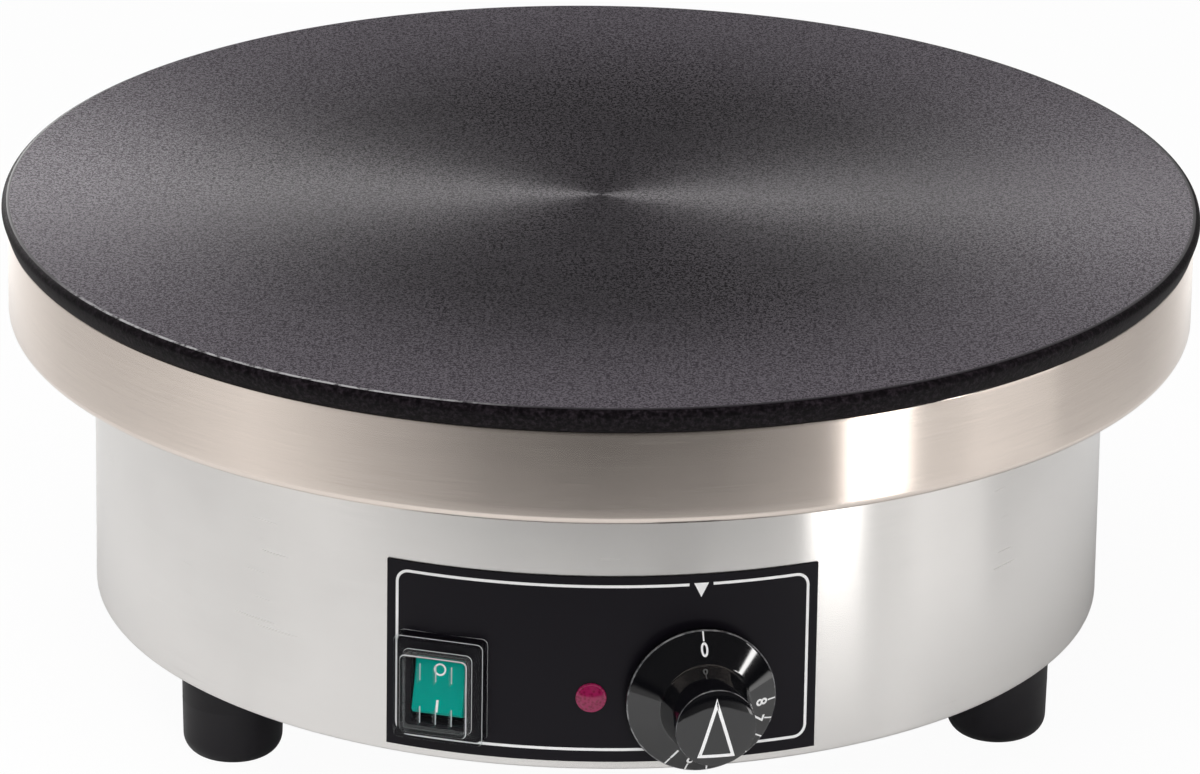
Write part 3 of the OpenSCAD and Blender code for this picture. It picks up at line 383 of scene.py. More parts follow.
under = plate_low.z / MM
body_r = case_r - sheet - ledge - 1.3
body_foot = case_top - 8
hub_r, rim_bend = 18, 2.5
edge_from, skin_from = 4, 7
plate = turned("iron_plate", [
    (0, plate_top), (30, plate_top), (90, plate_top), (150, plate_top),
    (plate_r - rim_bend - 0.1, plate_top),
    *bend(plate_r - rim_bend, plate_top - rim_bend, rim_bend, 88, 0, 9),
    (plate_r - 1.7, case_top + 0.5), (plate_r - 2.2, case_top),
    (body_r, case_top), (body_r, body_foot), (hub_r, body_foot), (hub_r, under), (0, under)],
    [seasoned_iron, turned_edge, rough_rim], steps=320,
    paint=lambda i: 0 if i < edge_from else 1 if i < skin_from else 2, sharp=50)
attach(plate, "body")
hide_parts("cooking_plate")


# ---- Heating gear under the plate ----
# Two sheathed tube elements with ceramic beads and brass straps, a copper sensor bulb, and a
# fibre disc in a shield pan. All of it is closed in, and keeps the shape of its CAD part.
def plain(name, dark, pale, rough, metallic=0.0, scale=120.0, depth=0.05, **fixed):
    """A finish whose tone and gloss drift a little, with a fine matching relief."""
    finish = Finish(name)
    drift = finish.grain(finish.place(), scale, 4.0, 0.6)
    return finish.surface(
        finish.tint(drift, dark, pale), rough + 0.14 * (drift - 0.5), metallic,
        normal=finish.relief(drift, depth, 0.5), **fixed)


sheath = plain("heated_sheath", (0.10, 0.09, 0.08), (0.26, 0.23, 0.20), 0.5, 0.9, 60.0)
fibre = plain("pressed_fibre", (0.62, 0.59, 0.52), (0.80, 0.77, 0.70), 0.92, 0.0, 900.0, 0.4)
shield = plain("aluminised_sheet", (0.48, 0.49, 0.50), (0.62, 0.63, 0.64), 0.42, 1.0, 200.0)
steatite = plain("ceramic_bead", (0.74, 0.70, 0.61), (0.84, 0.80, 0.72), 0.55, 0.0, 300.0)
brass = plain("brass_strip", (0.50, 0.34, 0.12), (0.66, 0.46, 0.18), 0.32, 1.0, 150.0)
copper = plain("copper_tube", (0.46, 0.20, 0.11), (0.62, 0.30, 0.18), 0.35, 1.0, 150.0)
for finish, names in (
        (sheath, ("element_outer", "element_inner")),
        (fibre, ("insulation_disc", "plate_seal")),
        (shield, ("shield_pan",)),
        (steatite, ("element_beads", "thermostat_body", "terminal_block")),
        (brass, ("element_links", "switch_tabs", "lamp_tabs", "thermostat_tabs",
                 "terminal_screws")),
        (copper, ("capillary", "sensor_bulb"))):
    for name in names:
        dress(nodes[name], finish)


# ---- Leads ----
# Silicone covered leads in brown, white and green. They run inside the drum from the terminal
# block to the switch, the lamp, the thermostat and the elements.
brown, off_white, green = (0.045, 0.014, 0.006), (0.62, 0.62, 0.60), (0.10, 0.26, 0.03)
for name, color in (("supply_leads", brown), ("switch_leads", brown), ("element_leads", brown),
                    ("lamp_leads", off_white), ("earth_lead", green)):
    paler = tuple(c * 1.3 for c in color)
    dress(nodes[name], plain(name + "_sleeve", color, paler, 0.5, 0.0, 400.0))


# ---- Control overlay ----
# A thin satin black film glued round the drum. A white line is printed near its edge, broken
# above the dial by a white pointer that shows the dial's setting.
film_low, film_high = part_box("control_overlay")
film_foot = film_low.z / MM
film_top = film_high.z / MM
film_r = drum_r + 0.6
film_mid = 2.5
film_half = 141.4 / 2
controls_z = drum_foot + 25.4


def round_drum(arc, z, out):
    """A point at a distance round the drum, a height, and a distance from the axis, all in mm."""
    turn = arc / drum_r
    return Vector((out * math.sin(turn), -out * math.cos(turn), z)) * MM


def join_loops(bm, a, b, index=0):
    """A ring of four-sided faces from one loop of corners to another."""
    for k in range(len(a)):
        n = (k + 1) % len(a)
        bm.faces.new((a[k], a[n], b[n], b[k])).material_index = index


def wrapped_band(name, line, width, inner, outer, finishes):
    """A thin flat band of one width along a line of (arc, z) points, wrapped round the drum."""
    bm = bmesh.new()
    cuts = []
    for i, point in enumerate(line):
        before = Vector(line[max(i - 1, 0)])
        after = Vector(line[min(i + 1, len(line) - 1)])
        along = (after - before).normalized()
        side = Vector((-along.y, along.x)) * width / 2
        a, b = Vector(point) + side, Vector(point) - side
        cuts.append([bm.verts.new(round_drum(p.x, p.y, r))
                     for p, r in ((a, inner), (b, inner), (b, outer), (a, outer))])
    for a, b in zip(cuts, cuts[1:]):
        join_loops(bm, a, b)
    bm.faces.new(cuts[0])
    bm.faces.new(cuts[-1])
    return to_piece(bm, name, finishes)


film = Finish("overlay_film")
haze = film.grain(film.place(), 2400.0, 2.0)
cloudy = film.grain(film.place(), 30.0, 3.0)
overlay_film = film.surface(
    film.tint(cloudy, (0.0060, 0.0050, 0.0075), (0.0085, 0.0072, 0.0105)), 0.30 + 0.08 * cloudy,
    normal=film.relief(haze, 0.01, 0.25), Specular_IOR_Level=0.14)
white_ink = plain("white_ink", (0.92, 0.92, 0.92), (0.97, 0.97, 0.97), 0.4, 0.0, 500.0, 0.01)

film_steps = 72
film_line = [(film_mid - film_half + 2 * film_half * k / film_steps, (film_foot + film_top) / 2)
             for k in range(film_steps + 1)]
overlay = wrapped_band("overlay_sheet", film_line, film_top - film_foot, drum_r + 0.1, film_r,
                       [overlay_film])
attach(overlay, "body")
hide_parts("control_overlay")

line_in, line_w = 3.5, 0.95
left, right = film_mid - film_half + line_in, film_mid + film_half - line_in
foot_z, head_z = film_foot + line_in + 0.8, film_top - line_in + 0.3
corner = 4.0
pointer_arc, pointer_half = 33.9, 2.4
gap = 3.9


def run(start, end):
    """Points every 2 mm from one place to another."""
    start, end = Vector(start), Vector(end)
    count = max(1, round((end - start).length / 2))
    return [tuple(start.lerp(end, k / count)) for k in range(count)]


printed_line = [
    *run((pointer_arc - gap, head_z), (left + corner, head_z)),
    *bend(left + corner, head_z - corner, corner, 90, 180),
    *run((left, head_z - corner - 0.5), (left, foot_z + corner + 0.5)),
    *bend(left + corner, foot_z + corner, corner, 180, 270),
    *run((left + corner + 0.5, foot_z), (right - corner - 0.5, foot_z)),
    *bend(right - corner, foot_z + corner, corner, 270, 360),
    *run((right, foot_z + corner + 0.5), (right, head_z - corner - 0.5)),
    *bend(right - corner, head_z - corner, corner, 0, 90),
    *run((right - corner - 0.5, head_z), (pointer_arc + gap, head_z)), (pointer_arc + gap, head_z)]
border = wrapped_band("overlay_line", printed_line, line_w, film_r - 0.05, film_r + 0.04,
                      [white_ink])
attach(border, "body")


def wrapped_patch(name, outline, inner, outer, finishes):
    """A small flat patch with straight sides, laid on the drum's curve."""
    bm = bmesh.new()
    back = [bm.verts.new(round_drum(x, z, inner)) for x, z in outline]
    front = [bm.verts.new(round_drum(x, z, outer)) for x, z in outline]
    bm.faces.new(back)
    bm.faces.new(front)
    join_loops(bm, back, front)
    return to_piece(bm, name, finishes)


pointer = wrapped_patch("overlay_pointer", [
    (pointer_arc - pointer_half, head_z + 0.45), (pointer_arc + pointer_half, head_z + 0.45),
    (pointer_arc, head_z - 4.4)],
    film_r - 0.05, film_r + 0.05, [white_ink])
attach(pointer, "body")


# ---- Rocker switch ----
# A snap-in switch: a black nylon frame, a glossy green rocker with its two marks, and a clear
# cover over the whole that keeps splashes out. Six short fins reach in from the cover's dome.
def facing(arc, out, rise=0.0):
    """The frame of a control: X to the right, Y up and Z straight out from the drum."""
    turn = arc / drum_r
    s, c = math.sin(turn), math.cos(turn)
    height = (controls_z + rise) * MM
    return Matrix(((c, 0, s, out * MM * s), (s, 0, -c, -out * MM * c),
                   (0, 1, 0, height), (0, 0, 0, 1)))


def soft_loop(w, h, r, z, seat=None):
    """A rectangle with rounded corners at height z, or laid on a cylinder of radius seat."""
    points = []
    steps = 5
    for cx, cy, start in ((1, 1, 0), (-1, 1, 90), (-1, -1, 180), (1, -1, 270)):
        for k in range(steps + 1):
            a = math.radians(start + 90 * k / steps)
            x = cx * (w / 2 - r) + r * math.cos(a)
            y = cy * (h / 2 - r) + r * math.sin(a)
            points.append((x, y, math.sqrt(seat * seat - x * x) if seat else z))
    return points


def stacked(name, loops, finishes, at, paint=None, sharp=35.0, closed=False):
    """A solid whose skin joins one loop to the next, with its ends closed or joined."""
    bm = bmesh.new()
    rows = [[bm.verts.new(Vector(p) * MM) for p in loop] for loop in loops]
    pairs = list(zip(rows, rows[1:])) + ([(rows[-1], rows[0])] if closed else [])
    for index, (a, b) in enumerate(pairs):
        join_loops(bm, a, b, paint(index) if paint else 0)
    if not closed:
        for row in (rows[0], rows[-1]):
            face = bm.faces.new(row)
            face.material_index = paint(len(pairs)) if paint else 0
    bmesh.ops.transform(bm, matrix=at, verts=bm.verts)
    return to_piece(bm, name, finishes, sharp)


hood_low, hood_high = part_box("splash_cover")
switch_rise = (hood_low.z + hood_high.z) / 2 / MM - controls_z
switch_arc = -49.1
frame_w, frame_h = 28.2, 33.6
well_w, well_h, well_depth = 17.6, 23.1, 11
housing_w, housing_h, housing_l = 21.8, 27.4, 21.8
bezel_front = film_r + 4.2
nylon = plain("black_nylon", (0.006, 0.005, 0.007), (0.011, 0.010, 0.012), 0.34, 0.0, 800.0, 0.03,
              Specular_IOR_Level=0.10)
at_switch = facing(switch_arc, 0, switch_rise)
bezel = stacked("switch_frame", [
    soft_loop(frame_w, frame_h, 1.5, 0, seat=film_r),
    soft_loop(frame_w, frame_h, 1.5, bezel_front - 0.8),
    soft_loop(frame_w - 0.3, frame_h - 0.3, 1.5, bezel_front - 0.25),
    soft_loop(frame_w - 1.1, frame_h - 1.1, 1.3, bezel_front),
    soft_loop(frame_w - 2.0, frame_h - 2.0, 1.1, bezel_front),
    soft_loop(well_w + 1.0, well_h + 1.0, 0.8, bezel_front),
    soft_loop(well_w + 0.2, well_h + 0.2, 0.5, bezel_front - 0.5),
    soft_loop(well_w, well_h, 0.5, bezel_front - well_depth),
    soft_loop(2, 2, 0.5, bezel_front - well_depth), soft_loop(2, 2, 0.5, drum_r - housing_l),
    soft_loop(housing_w, housing_h, 0.5, drum_r - housing_l),
    soft_loop(housing_w, housing_h, 0.5, drum_r - 2)],
    [nylon], at_switch, closed=True)
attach(bezel, "body")
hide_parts("switch_body")

green_finish = Finish("rocker_green")
milky = green_finish.grain(green_finish.place(), 260.0, 2.0)
rocker_green = green_finish.surface(
    green_finish.tint(milky, (0.0, 0.31, 0.25), (0.0, 0.36, 0.30)), 0.34 + 0.06 * milky,
    normal=green_finish.relief(milky, 0.01, 0.2), Specular_IOR_Level=0.06)

pivot = bezel_front - 4.2
tilt = math.radians(15)
at_rocker = facing(switch_arc, pivot, switch_rise) @ Matrix.Rotation(-tilt, 4, "X")
face_half, face_mid, face_end = 19.7 / 2, 3.7, 4.1
crest = face_half - 1.55
half_view = [(face_half - 2.3, face_end - 0.03), (crest, face_end), (face_half - 1.05, 3.5),
             (face_half - 0.65, 2.6), (face_half - 0.3, 0), (5.5, -5)]
side_view = [(0, face_mid), *half_view, *[(-y, z) for y, z in reversed(half_view)]]


def across(half, inset):
    """The rocker's side view at one distance from its middle, drawn in by inset."""
    k = 1 - inset / face_half
    return [(half, y * k, z - (inset if z > 0 else 0)) for y, z in side_view]


flank = [(8.5, 0.35), (8.3, 0.08), (8.0, 0), (7.6, 0)]
rocker = stacked("switch_button", [
    *[across(-half, inset) for half, inset in flank],
    *[across(half, inset) for half, inset in reversed(flank)]],
    [rocker_green], at_rocker, sharp=45)
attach(rocker, "rocker")
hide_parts("switch_rocker")
pin_half, pin_r = 10.1, 1.5
rocker_pin = turned("switch_pin", [
    (0, -pin_half), (pin_r - 0.2, -pin_half), (pin_r, 0.2 - pin_half),
    (pin_r, pin_half - 0.2), (pin_r - 0.2, pin_half), (0, pin_half)],
    [rocker_green], at_rocker @ Matrix.Rotation(math.pi / 2, 4, "Y"), steps=32)
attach(rocker_pin, "rocker")


def repeated(name, places, size, finish, body, round_ends=False):
    """Copies of one small bar, made by a node tree from points that carry place and turn."""
    mesh = bpy.data.meshes.new(name)
    mesh.from_pydata([p.to_translation() for p in places], [], [])
    turn = mesh.attributes.new("turn", "FLOAT_VECTOR", "POINT")
    turn.data.foreach_set("vector", [v for p in places for v in p.to_euler()])
    piece = in_scene(name, mesh)
    tree = bpy.data.node_groups.new(name + "_tree", "GeometryNodeTree")
    tree.interface.new_socket("Geometry", in_out="INPUT", socket_type="NodeSocketGeometry")
    bar = tree.interface.new_socket("Bar size", in_out="INPUT", socket_type="NodeSocketVector")
    tree.interface.new_socket("Geometry", in_out="OUTPUT", socket_type="NodeSocketGeometry")

    def add(kind, **settings):
        node = tree.nodes.new(kind)
        for key, value in settings.items():
            setattr(node, key, value)
        return node

    start, end = add("NodeGroupInput"), add("NodeGroupOutput")
    if round_ends:
        shape = add("GeometryNodeMeshUVSphere")
        shape.inputs["Segments"].default_value = 16
        shape.inputs["Rings"].default_value = 10
        shape.inputs["Radius"].default_value = 0.5
        fit = add("GeometryNodeTransform")
        tree.links.new(shape.outputs["Mesh"], fit.inputs["Geometry"])
        tree.links.new(start.outputs["Bar size"], fit.inputs["Scale"])
        source = fit.outputs["Geometry"]
    else:
        shape = add("GeometryNodeMeshCube")
        tree.links.new(start.outputs["Bar size"], shape.inputs["Size"])
        source = shape.outputs["Mesh"]
    turned_by = add("GeometryNodeInputNamedAttribute", data_type="FLOAT_VECTOR")
    turned_by.inputs["Name"].default_value = "turn"
    as_turn = add("FunctionNodeEulerToRotation")
    copies = add("GeometryNodeInstanceOnPoints")
    solid = add("GeometryNodeRealizeInstances")
    paint = add("GeometryNodeSetMaterial")
    paint.inputs["Material"].default_value = finish
    tree.links.new(turned_by.outputs["Attribute"], as_turn.inputs[0])
    tree.links.new(start.outputs["Geometry"], copies.inputs["Points"])
    tree.links.new(source, copies.inputs["Instance"])
    tree.links.new(as_turn.outputs[0], copies.inputs["Rotation"])
    tree.links.new(copies.outputs[0], solid.inputs[0])
    tree.links.new(solid.outputs[0], paint.inputs["Geometry"])
    tree.links.new(paint.outputs[0], end.inputs[0])
    grow = piece.modifiers.new("Copies", "NODES")
    grow.node_group = tree
    grow[bar.identifier] = [s * MM for s in size]
    grown = piece.evaluated_get(bpy.context.evaluated_depsgraph_get())
    done = bpy.data.meshes.new_from_object(grown)
    piece.modifiers.remove(grow)
    piece.data = done
    for polygon in done.polygons:
        polygon.use_smooth = round_ends
    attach(piece, body)


dish = math.atan2(face_end - face_mid, crest)


def on_rocker(y):
    """A place on the rocker's dished face, at a height from its pivot."""
    lift = face_mid + abs(y) * math.tan(dish)
    return (at_rocker @ Matrix.Translation((0, y * MM, lift * MM))
            @ Matrix.Rotation(math.copysign(dish, y), 4, "X"))


# A ring for off at the top and a bar for on at the bottom
off_in, off_out = 1.45, 2.05
off_mark = turned("switch_off_mark", [
    (off_in, -0.05), (off_out, -0.05), (off_out, 0.05), (off_in, 0.05)],
    [white_ink], on_rocker(5.6), steps=48)
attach(off_mark, "rocker")
repeated("switch_on_mark", [on_rocker(-6.3)], (0.8, 4.0, 0.1), white_ink,
         "rocker")


def see_through(name, glass, mirror, painted_white_share):
    """A clear plastic: what is behind it, a mirror gloss at grazing angles, and white that is
    painted light, for the glints and sheen that its edges and walls catch.
    """
    finish = Finish(name)
    open_air = finish.node("BsdfTransparent", {}, {"Color": glass})
    gloss_only = finish.node("BsdfPrincipled", {}, {
        "Base Color": (0.95, 0.96, 0.97), "Metallic": 1.0, "Roughness": 0.06})
    painted_white_glint = finish.node("BsdfPrincipled", {}, {
        "Base Color": (0.80, 0.83, 0.84), "Roughness": 0.25})
    clear_and_painted = finish.node("MixShader", {}, {0: painted_white_share, 1: open_air, 2: painted_white_glint})
    rim_light = finish.node("Fresnel", {}, {"IOR": 1.45})
    finish.put(finish.output.inputs["Surface"],
               finish.node("MixShader", {}, {0: rim_light * mirror, 1: clear_and_painted, 2: gloss_only}))
    return finish.data


# Painted light: the edge bands and the fin tips are painted white as glints, and the walls and fins
# carry a faint painted sheen. The plain skin has none.
clear_skin = see_through("clear_cover", (0.985, 0.99, 0.99), 0.07, 0.0)
clear_edge_glint = see_through("clear_cover_edge_glint", (0.95, 0.96, 0.96), 0.5, 0.8)
clear_wall_sheen = see_through("clear_cover_wall_sheen", (0.96, 0.97, 0.97), 0.14, 0.035)

wall = 0.8
skirt_w, skirt_h = frame_w + 0.2, frame_h + 0.2
dome_w, dome_h = 23.0, 27.2
skin_z = bezel_front + 0.1
dome_z = skin_z + wall + 5.5
outer_w, outer_h = skirt_w + 2 * wall, skirt_h + 2 * wall
glint_slot, sheen_slot = 1, 2
cover_bands = {2: sheen_slot, 7: glint_slot, 9: glint_slot,
               13: glint_slot, 14: sheen_slot, 15: glint_slot}
cover = stacked("splash_hood", [
    soft_loop(dome_w - 4.4, dome_h - 4.4, 1.0, dome_z - wall),
    soft_loop(dome_w - 3.2, dome_h - 3.2, 1.2, dome_z - wall),
    soft_loop(dome_w - 2.3, dome_h - 2.3, 1.2, dome_z - wall - 0.4),
    soft_loop(dome_w - 1.6, dome_h - 1.6, 1.2, skin_z + 0.6),
    soft_loop(dome_w - 0.6, dome_h - 0.6, 1.6, skin_z),
    soft_loop(skirt_w, skirt_h, 1.4, skin_z),
    soft_loop(skirt_w, skirt_h, 1.4, 0, seat=film_r + 0.02),
    soft_loop(outer_w, outer_h, 2.0, 0, seat=film_r + 0.02),
    soft_loop(outer_w, outer_h, 2.0, 0, seat=film_r + 0.5),
    soft_loop(outer_w, outer_h, 2.0, skin_z + wall - 0.45),
    soft_loop(outer_w - 0.25, outer_h - 0.25, 1.9, skin_z + wall - 0.1),
    soft_loop(outer_w - 0.8, outer_h - 0.8, 1.6, skin_z + wall),
    soft_loop(dome_w + 0.7, dome_h + 0.7, 2.3, skin_z + wall),
    soft_loop(dome_w + 0.25, dome_h + 0.25, 2.1, skin_z + wall + 0.15),
    soft_loop(dome_w, dome_h, 2.0, skin_z + wall + 0.45),
    soft_loop(dome_w - 0.4, dome_h - 0.4, 1.9, dome_z - 0.7),
    soft_loop(dome_w - 0.9, dome_h - 0.9, 1.75, dome_z - 0.25),
    soft_loop(dome_w - 1.4, dome_h - 1.4, 1.5, dome_z),
    soft_loop(dome_w - 2.4, dome_h - 2.4, 1.3, dome_z)],
    [clear_skin, clear_edge_glint, clear_wall_sheen], at_switch,
    paint=lambda i: cover_bands.get(i, 0), sharp=60)
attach(cover, "body")
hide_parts("splash_cover")

fin_w, fin_l, fin_reach, fin_tip = 0.3, 5.7, 3.0, 0.25
fin_spots = [(x * 5.3, y * 7.4 - 0.6) for x in (-1, 0, 1) for y in (-1, 1)]
for name, depth, middle, finish in (
        ("splash_hood_fins", fin_reach - fin_tip, dome_z - wall - (fin_reach - fin_tip) / 2,
         clear_wall_sheen),
        ("splash_hood_fin_tips", fin_tip, dome_z - wall - fin_reach + fin_tip / 2, clear_edge_glint)):
    places = [at_switch @ Matrix.Translation((x * MM, y * MM, middle * MM)) for x, y in fin_spots]
    repeated(name, places, (fin_w, fin_l, depth), finish, "body")


# ---- Indicator lamp ----
# A small domed lens of dark red plastic, pushed into a black holder through the overlay. Its
# underside is cut in facets, which show through as a faint pattern, and its rim catches light.
lens = Finish("lamp_lens_red")
facets = lens.node("TexVoronoi", {"feature": "F1"}, {"Vector": lens.place(), "Scale": 900.0})
glow = lens.grain(lens.place(), 240.0, 1.0)
lamp_red = lens.surface(
    lens.tint(facets.limited(0.1, 0.6), (0.17, 0.003, 0.036), (0.28, 0.009, 0.073)),
    0.16 + 0.05 * glow, normal=lens.relief(facets, 0.05, 0.25),
    Coat_Weight=0.4, Coat_Roughness=0.06, Specular_IOR_Level=0.35)
lamp_arc = -0.9
at_lamp = facing(lamp_arc, film_r)
lamp = turned("lamp_dome", [
    (0, -2), (4.9, -2), (5.0, 0.35), (4.92, 0.6), (4.7, 0.72), (4.45, 0.66), (4.25, 0.72),
    (3.4, 1.18), (2.3, 1.6), (1.2, 1.82), (0, 1.9)], [lamp_red], at_lamp, steps=64, sharp=60)
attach(lamp, "body")
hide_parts("lamp_lens")
dress(nodes["lamp_holder"], nylon)


# ---- Dial ----
# A glossy black phenolic knob on the thermostat's shaft: a wide coned skirt with white ticks
# and numerals, and a tapered grip with an outlined pointer on its face.
knob_arc = 33.6
knob_back = film_r + 2.4
gloss = Finish("dial_gloss")
swirl = gloss.grain(gloss.place(), 70.0, 3.0)
dial_gloss = gloss.surface(
    gloss.tint(swirl, (0.003, 0.003, 0.004), (0.006, 0.006, 0.007)), 0.05 + 0.03 * swirl,
    normal=gloss.relief(swirl, 0.01, 0.1), Specular_IOR_Level=0.85)
# The skirt's rim and the grip's front edge carry a painted highlight: pale grey in patches on the
# black.
edge_glint_finish = Finish("dial_edge")
glint_patches = edge_glint_finish.grain(edge_glint_finish.place(), 300.0, 3.0)
dial_edge = edge_glint_finish.surface(
    edge_glint_finish.tint(glint_patches.limited(0.3, 0.7), (0.03, 0.03, 0.035), (0.26, 0.26, 0.27)),
    0.22 + 0.1 * glint_patches, normal=edge_glint_finish.relief(glint_patches, 0.02, 0.2))
at_dial = facing(knob_arc, knob_back)
skirt_r, cone_z, grip_foot, grip_front, face_z = 24.5, 8.3, 14.6, 13.0, 26.3
rim_z = 2.3
slope = math.atan2(cone_z - rim_z, skirt_r - 0.5 - grip_foot)


def crown(out):
    """How far the grip's front has fallen at a distance from its axis: flat, then rolling off."""
    return 0.18 * (out / 8) ** 3.8


def cone(down):
    """A point on the skirt's cone, so far down its slope from the rim."""
    return (skirt_r - 0.5 - down * math.cos(slope), rim_z + down * math.sin(slope))


cone_l = (skirt_r - 0.5 - grip_foot) / math.cos(slope)
front_edge = face_z - crown(grip_front - 0.5)
front = [(r, face_z - crown(r)) for r in (12.3, 11.6, 10.8, 10, 9, 8, 6.5, 5, 3, 1.5, 0)]
glint_bands = (8, 17)
dial = turned("dial_body", [
    (0, 0.4), (6.5, 0.4), (6.5, 6.5), (12.8, 6.5), (skirt_r - 1.8, 0), (skirt_r - 0.3, 0),
    (skirt_r, 0.3), (skirt_r, 1.55), (skirt_r - 0.12, 1.88),
    cone(0), cone(0.5), cone(cone_l - 1.2), cone(cone_l - 0.7),
    (grip_foot + 0.12, cone_z + 0.05), (grip_foot - 0.03, cone_z + 0.6),
    (grip_foot - 0.12, cone_z + 1.6), (grip_front + 0.11, front_edge - 1.5),
    (grip_front + 0.04, front_edge - 0.6), (grip_front - 0.12, front_edge - 0.22), *front],
    [dial_gloss, dial_edge], at_dial, steps=160,
    paint=lambda i: 1 if i in glint_bands else 0, sharp=40)
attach(dial, "dial")
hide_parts("knob")


def on_cone(clockwise, down):
    """A place on the skirt: degrees clockwise from the top, and mm down the slope from the rim."""
    out, rise = cone(down)
    turn = Matrix.Rotation(-math.radians(clockwise), 4, "Z")
    return (at_dial @ turn @ Matrix.Translation((0, out * MM, rise * MM))
            @ Matrix.Rotation(-slope, 4, "X"))


def flat_text(name, text, size, depth, finishes, at, bold, narrow):
    """A centred numeral, with its height and its stroke's gain in mm and its width's share."""
    cap_share = 0.7
    curve = bpy.data.curves.new(name, "FONT")
    curve.body = text
    curve.size = size * MM / cap_share
    curve.extrude = depth * MM / 2
    curve.offset = bold * MM
    curve.align_x = "CENTER"
    curve.align_y = "CENTER"
    curve.resolution_u = 4
    raw = in_scene(name + "_curve", curve)
    mesh = bpy.data.meshes.new_from_object(raw.evaluated_get(bpy.context.evaluated_depsgraph_get()))
    bpy.data.objects.remove(raw)
    bm = bmesh.new()
    bm.from_mesh(mesh)
    bpy.data.meshes.remove(mesh)
    bmesh.ops.transform(bm, matrix=at @ Matrix.Diagonal((narrow, 1, 1, 1)), verts=bm.verts)
    return to_piece(bm, name, finishes)


first_angle, angle_step = 91, 16.86
dial_angles = {0: 0, **{n: first_angle + angle_step * (8 - n) for n in range(1, 9)}}
ink = 0.06
ticks = [on_cone(angle, 1.6) for angle in dial_angles.values()]
repeated("dial_ticks", ticks, (0.5, 3.3, ink), white_ink, "dial")
for numeral, angle in dial_angles.items():
    piece = flat_text("dial_%d" % numeral, str(numeral), 4.6, ink, [white_ink],
                      on_cone(angle, 6.25), bold=0.13, narrow=0.76)
    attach(piece, "dial")


def outline_band(name, corners, width, depth, finishes, at):
    """A closed line of one width with mitred corners, laid on the grip's crowned front."""
    outer, inner = [], []
    for i, corner_point in enumerate(corners):
        p = Vector(corner_point)
        a = (p - Vector(corners[i - 1])).normalized()
        b = (Vector(corners[(i + 1) % len(corners)]) - p).normalized()
        half = math.acos(max(-1, min(1, (-a).dot(b)))) / 2
        outer.append(p)
        inner.append(p + (b - a).normalized() * width / math.sin(half))
    bm = bmesh.new()
    rows = []
    pieces = 10
    for i in range(len(corners)):
        n = (i + 1) % len(corners)
        for k in range(pieces):
            p, q = outer[i].lerp(outer[n], k / pieces), inner[i].lerp(inner[n], k / pieces)
            rows.append([bm.verts.new(Vector((v.x, v.y, z - crown(v.length))) * MM)
                         for v, z in ((p, -0.1), (q, -0.1), (q, depth), (p, depth))])
    for i in range(len(rows)):
        join_loops(bm, rows[i], rows[(i + 1) % len(rows)])
    bmesh.ops.transform(bm, matrix=at, verts=bm.verts)
    return to_piece(bm, name, finishes)


arrow_half, arrow_tip, arrow_foot = 6.1, 10.6, -9.6
arrow = outline_band("dial_arrow", [
    (0, arrow_tip), (-arrow_half, arrow_foot), (arrow_half, arrow_foot)],
    1.05, 0.05, [white_ink], at_dial @ Matrix.Translation((0, 0, face_z * MM)))
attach(arrow, "dial")


# ---- Cable gland and rating plate at the rear ----
# A nylon gland with a domed, ribbed cap for the mains cable, and a bare aluminium plate held
# by four drive pins.
for name in ("gland_body", "gland_locknut", "gland_cap"):
    dress(nodes[name], nylon)
satin = Finish("satin_aluminium")
rolled = satin.grain(satin.place(400, 400, 20), 1.0, 2.0)
dress(nodes["rating_plate"], satin.surface(
    satin.tint(rolled, (0.60, 0.61, 0.62), (0.72, 0.73, 0.74)), 0.34 + 0.1 * rolled, 1.0,
    normal=satin.relief(rolled, 0.01, 0.3)))
cap_low, cap_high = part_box("gland_cap")
cap_mid = (cap_low + cap_high) / 2
cap_ribs = []
rib_count, rib_at = 30, 10.5
for k in range(rib_count):
    a = math.tau * k / rib_count
    cap_ribs.append(
        Matrix.Translation((rib_at * MM * math.cos(a), cap_high.y - 2.6 * MM,
                            cap_mid.z + rib_at * MM * math.sin(a)))
        @ Matrix.Rotation(-a, 4, "Y"))
repeated("gland_cap_ribs", cap_ribs, (0.5, 4.4, 0.9), nylon, "body")
label_low, label_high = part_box("rating_plate")
label_turn = math.radians(60)
pin_in, pin_arc, pin_out = 3.2 * MM, 26.6, (drum_r + 0.5) * MM
pins = []
for z in (label_low.z + pin_in, label_high.z - pin_in):
    for arc in (-pin_arc, pin_arc):
        turn = label_turn + arc / drum_r
        pins.append(Matrix.Translation((pin_out * math.cos(turn), pin_out * math.sin(turn), z))
                    @ Matrix.Rotation(turn, 4, "Z"))
repeated("rating_plate_pins", pins, (1.2, 2.8, 2.8), zinc_plate, "body",
         round_ends=True)


# ---- Studio ----
# A pale floor that keeps the shadow, a white surround for the camera, and soft light whose
# strength changes round the object, as it does between the panels of a photo tent.
floor_half = 6
mesh = bpy.data.meshes.new("floor")
mesh.from_pydata([(-floor_half, -floor_half, 0), (floor_half, -floor_half, 0),
                  (floor_half, floor_half, 0), (-floor_half, floor_half, 0)], [], [(0, 1, 2, 3)])
floor = in_scene("floor", mesh)
paper = Finish("floor_paper")
path = paper.node("LightPath", out="Is Camera Ray")
mirrored = (paper.node("LightPath", out="Is Glossy Ray")
            + paper.node("LightPath", out="Is Shadow Ray"))
fleck = paper.grain(paper.place(), 40.0, 2.0)
matt = paper.node("BsdfDiffuse", {}, {
    "Color": paper.tint(fleck, (0.86, 0.86, 0.86), (0.89, 0.89, 0.89))})
white = paper.node("Emission", {}, {"Color": (1.0, 1.0, 1.0), "Strength": 1.0})
seen = paper.node("MixShader", {}, {0: path * 0.96, 1: matt, 2: white})
away = from_axis(paper).limited(0.43, 0.46)
ghost = paper.node("BsdfTransparent")
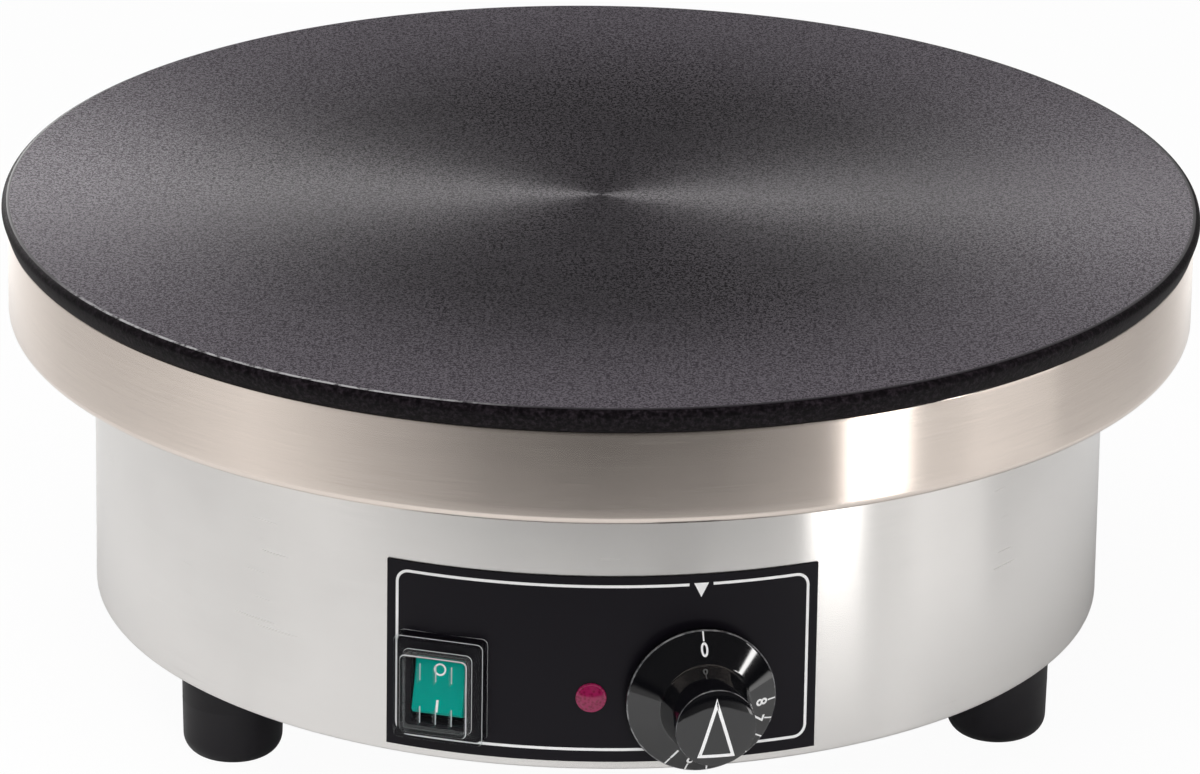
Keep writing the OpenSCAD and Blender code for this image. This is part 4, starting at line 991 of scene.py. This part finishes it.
paper.put(paper.output.inputs["Surface"],
          paper.node("MixShader", {}, {0: mirrored * away, 1: seen, 2: ghost}))
floor.data.materials.append(paper.data)

sky = Finish("tent", world=True)
look = sky.node("TexCoord", out="Generated")
split = sky.node("SeparateXYZ", {}, {"Vector": look})
x, y, z = (Value(sky, split.socket.node.outputs[axis]) for axis in "XYZ")
round_it = x.work("ARCTAN2", x, 0.0 - y) * (0.5 / math.pi) + 0.5


def around(degrees):
    """A direction round the object, 0 in front of it, as a share of the full turn."""
    return degrees / 360 + 0.5


tent = sky.node("ValToRGB", {"stops": [(around(degrees), level) for degrees, level in (
    (-180, 0.288), (-160, 0.272), (-145, 0.220), (-125, 0.152), (-108, 0.144), (-90, 0.164),
    (-70, 0.222), (-60, 0.196), (-45, 0.122), (-20, 0.036), (0, 0.014), (22, 0.028),
    (36, 0.060), (47.5, 0.110), (49.5, 0.880), (60, 0.880), (62, 0.180), (80, 0.172),
    (100, 0.132), (130, 0.112), (145, 0.152), (160, 0.248), (180, 0.288))]}, {0: round_it})
brightness = 4.4 * sky.node("RGBToBW", {}, {0: tent})
height = z.work("ABSOLUTE", z)
round_tent = (brightness * (1 - 0.85 * height.limited(0.25, 0.85))
              * (1 - z.limited(-0.14, -0.06)))
ceiling = 0.05 * z.limited(0.0, 0.12)
rear = y.limited(0.2, 0.7) * z.limited(0.08, 0.20) * (1 - z.limited(0.45, 0.60)) * (1 - 0.5 * x)


def softbox(first, last, low, high):
    """A panel between two directions round the object, in degrees, and two heights."""
    left, right = around(first), around(last)
    side, top = 0.001, 0.02
    return (round_it.limited(left - side, left + side)
            * (1 - round_it.limited(right - side, right + side))
            * z.limited(low - top, low + top) * (1 - z.limited(high - top, high + top)))


# A narrow strip at the right, a box at the rear left, and a faint one low at the right
faded = (round_tent + ceiling + 0.95 * rear + 14.0 * softbox(69.5, 72.5, 0.10, 0.39)
         + 10.0 * softbox(-172, -150, 0.02, 0.20) + 1.0 * softbox(74, 96, -0.26, -0.09))
warm = sky.tint(z.limited(-0.5, 0.1), (1.0, 0.985, 0.965), (1.0, 0.99, 0.98))
lit = sky.node("Background", {}, {"Color": warm, "Strength": faded})
plain_white = sky.node("Background", {}, {"Color": (1.0, 1.0, 1.0), "Strength": 1.0})
camera_ray = sky.node("LightPath", out="Is Camera Ray")
sky.put(sky.output.inputs["Surface"],
        sky.node("MixShader", {}, {0: camera_ray, 1: lit, 2: plain_white}))
bpy.context.scene.world = sky.data

# Two round panels, each with its width in metres, its power in watts and its place. They light
# the object without showing in its gloss.
lit_point = Vector((0, 0, 0.1))
for name, width, power, spot in (("top_panel", 1.6, 28, (-0.3, -0.5, 1.7)),
                                 ("front_panel", 1.0, 12, (0.4, -1.9, 0.8))):
    lamp_data = bpy.data.lights.new(name, "AREA")
    lamp_data.shape = "DISK"
    lamp_data.size = width
    lamp_data.energy = power
    panel = in_scene(name, lamp_data)
    panel.location = spot
    panel.rotation_euler = (lit_point - panel.location).to_track_quat("-Z", "Y").to_euler()
    panel.visible_glossy = False

# The camera was fitted to the outlines of the plate, the casing and the drum.
camera_data = bpy.data.cameras.new("camera")
camera_data.sensor_width = 36
camera_data.lens = 260.64
camera_data.clip_end = 50
camera = in_scene("camera", camera_data)
lift, roll, away_m = math.radians(21.06), math.radians(0.84), 2.9201
aim = Vector((0.000522, 0, 0.09722))
camera_at = aim + away_m * Vector((0, -math.cos(lift), math.sin(lift)))
camera.matrix_world = (Matrix.Translation(camera_at) @ Matrix.Rotation(math.pi / 2 - lift, 4, "X")
                       @ Matrix.Rotation(roll, 4, "Z"))
bpy.context.scene.camera = camera
bpy.context.scene.view_settings.view_transform = "Standard"
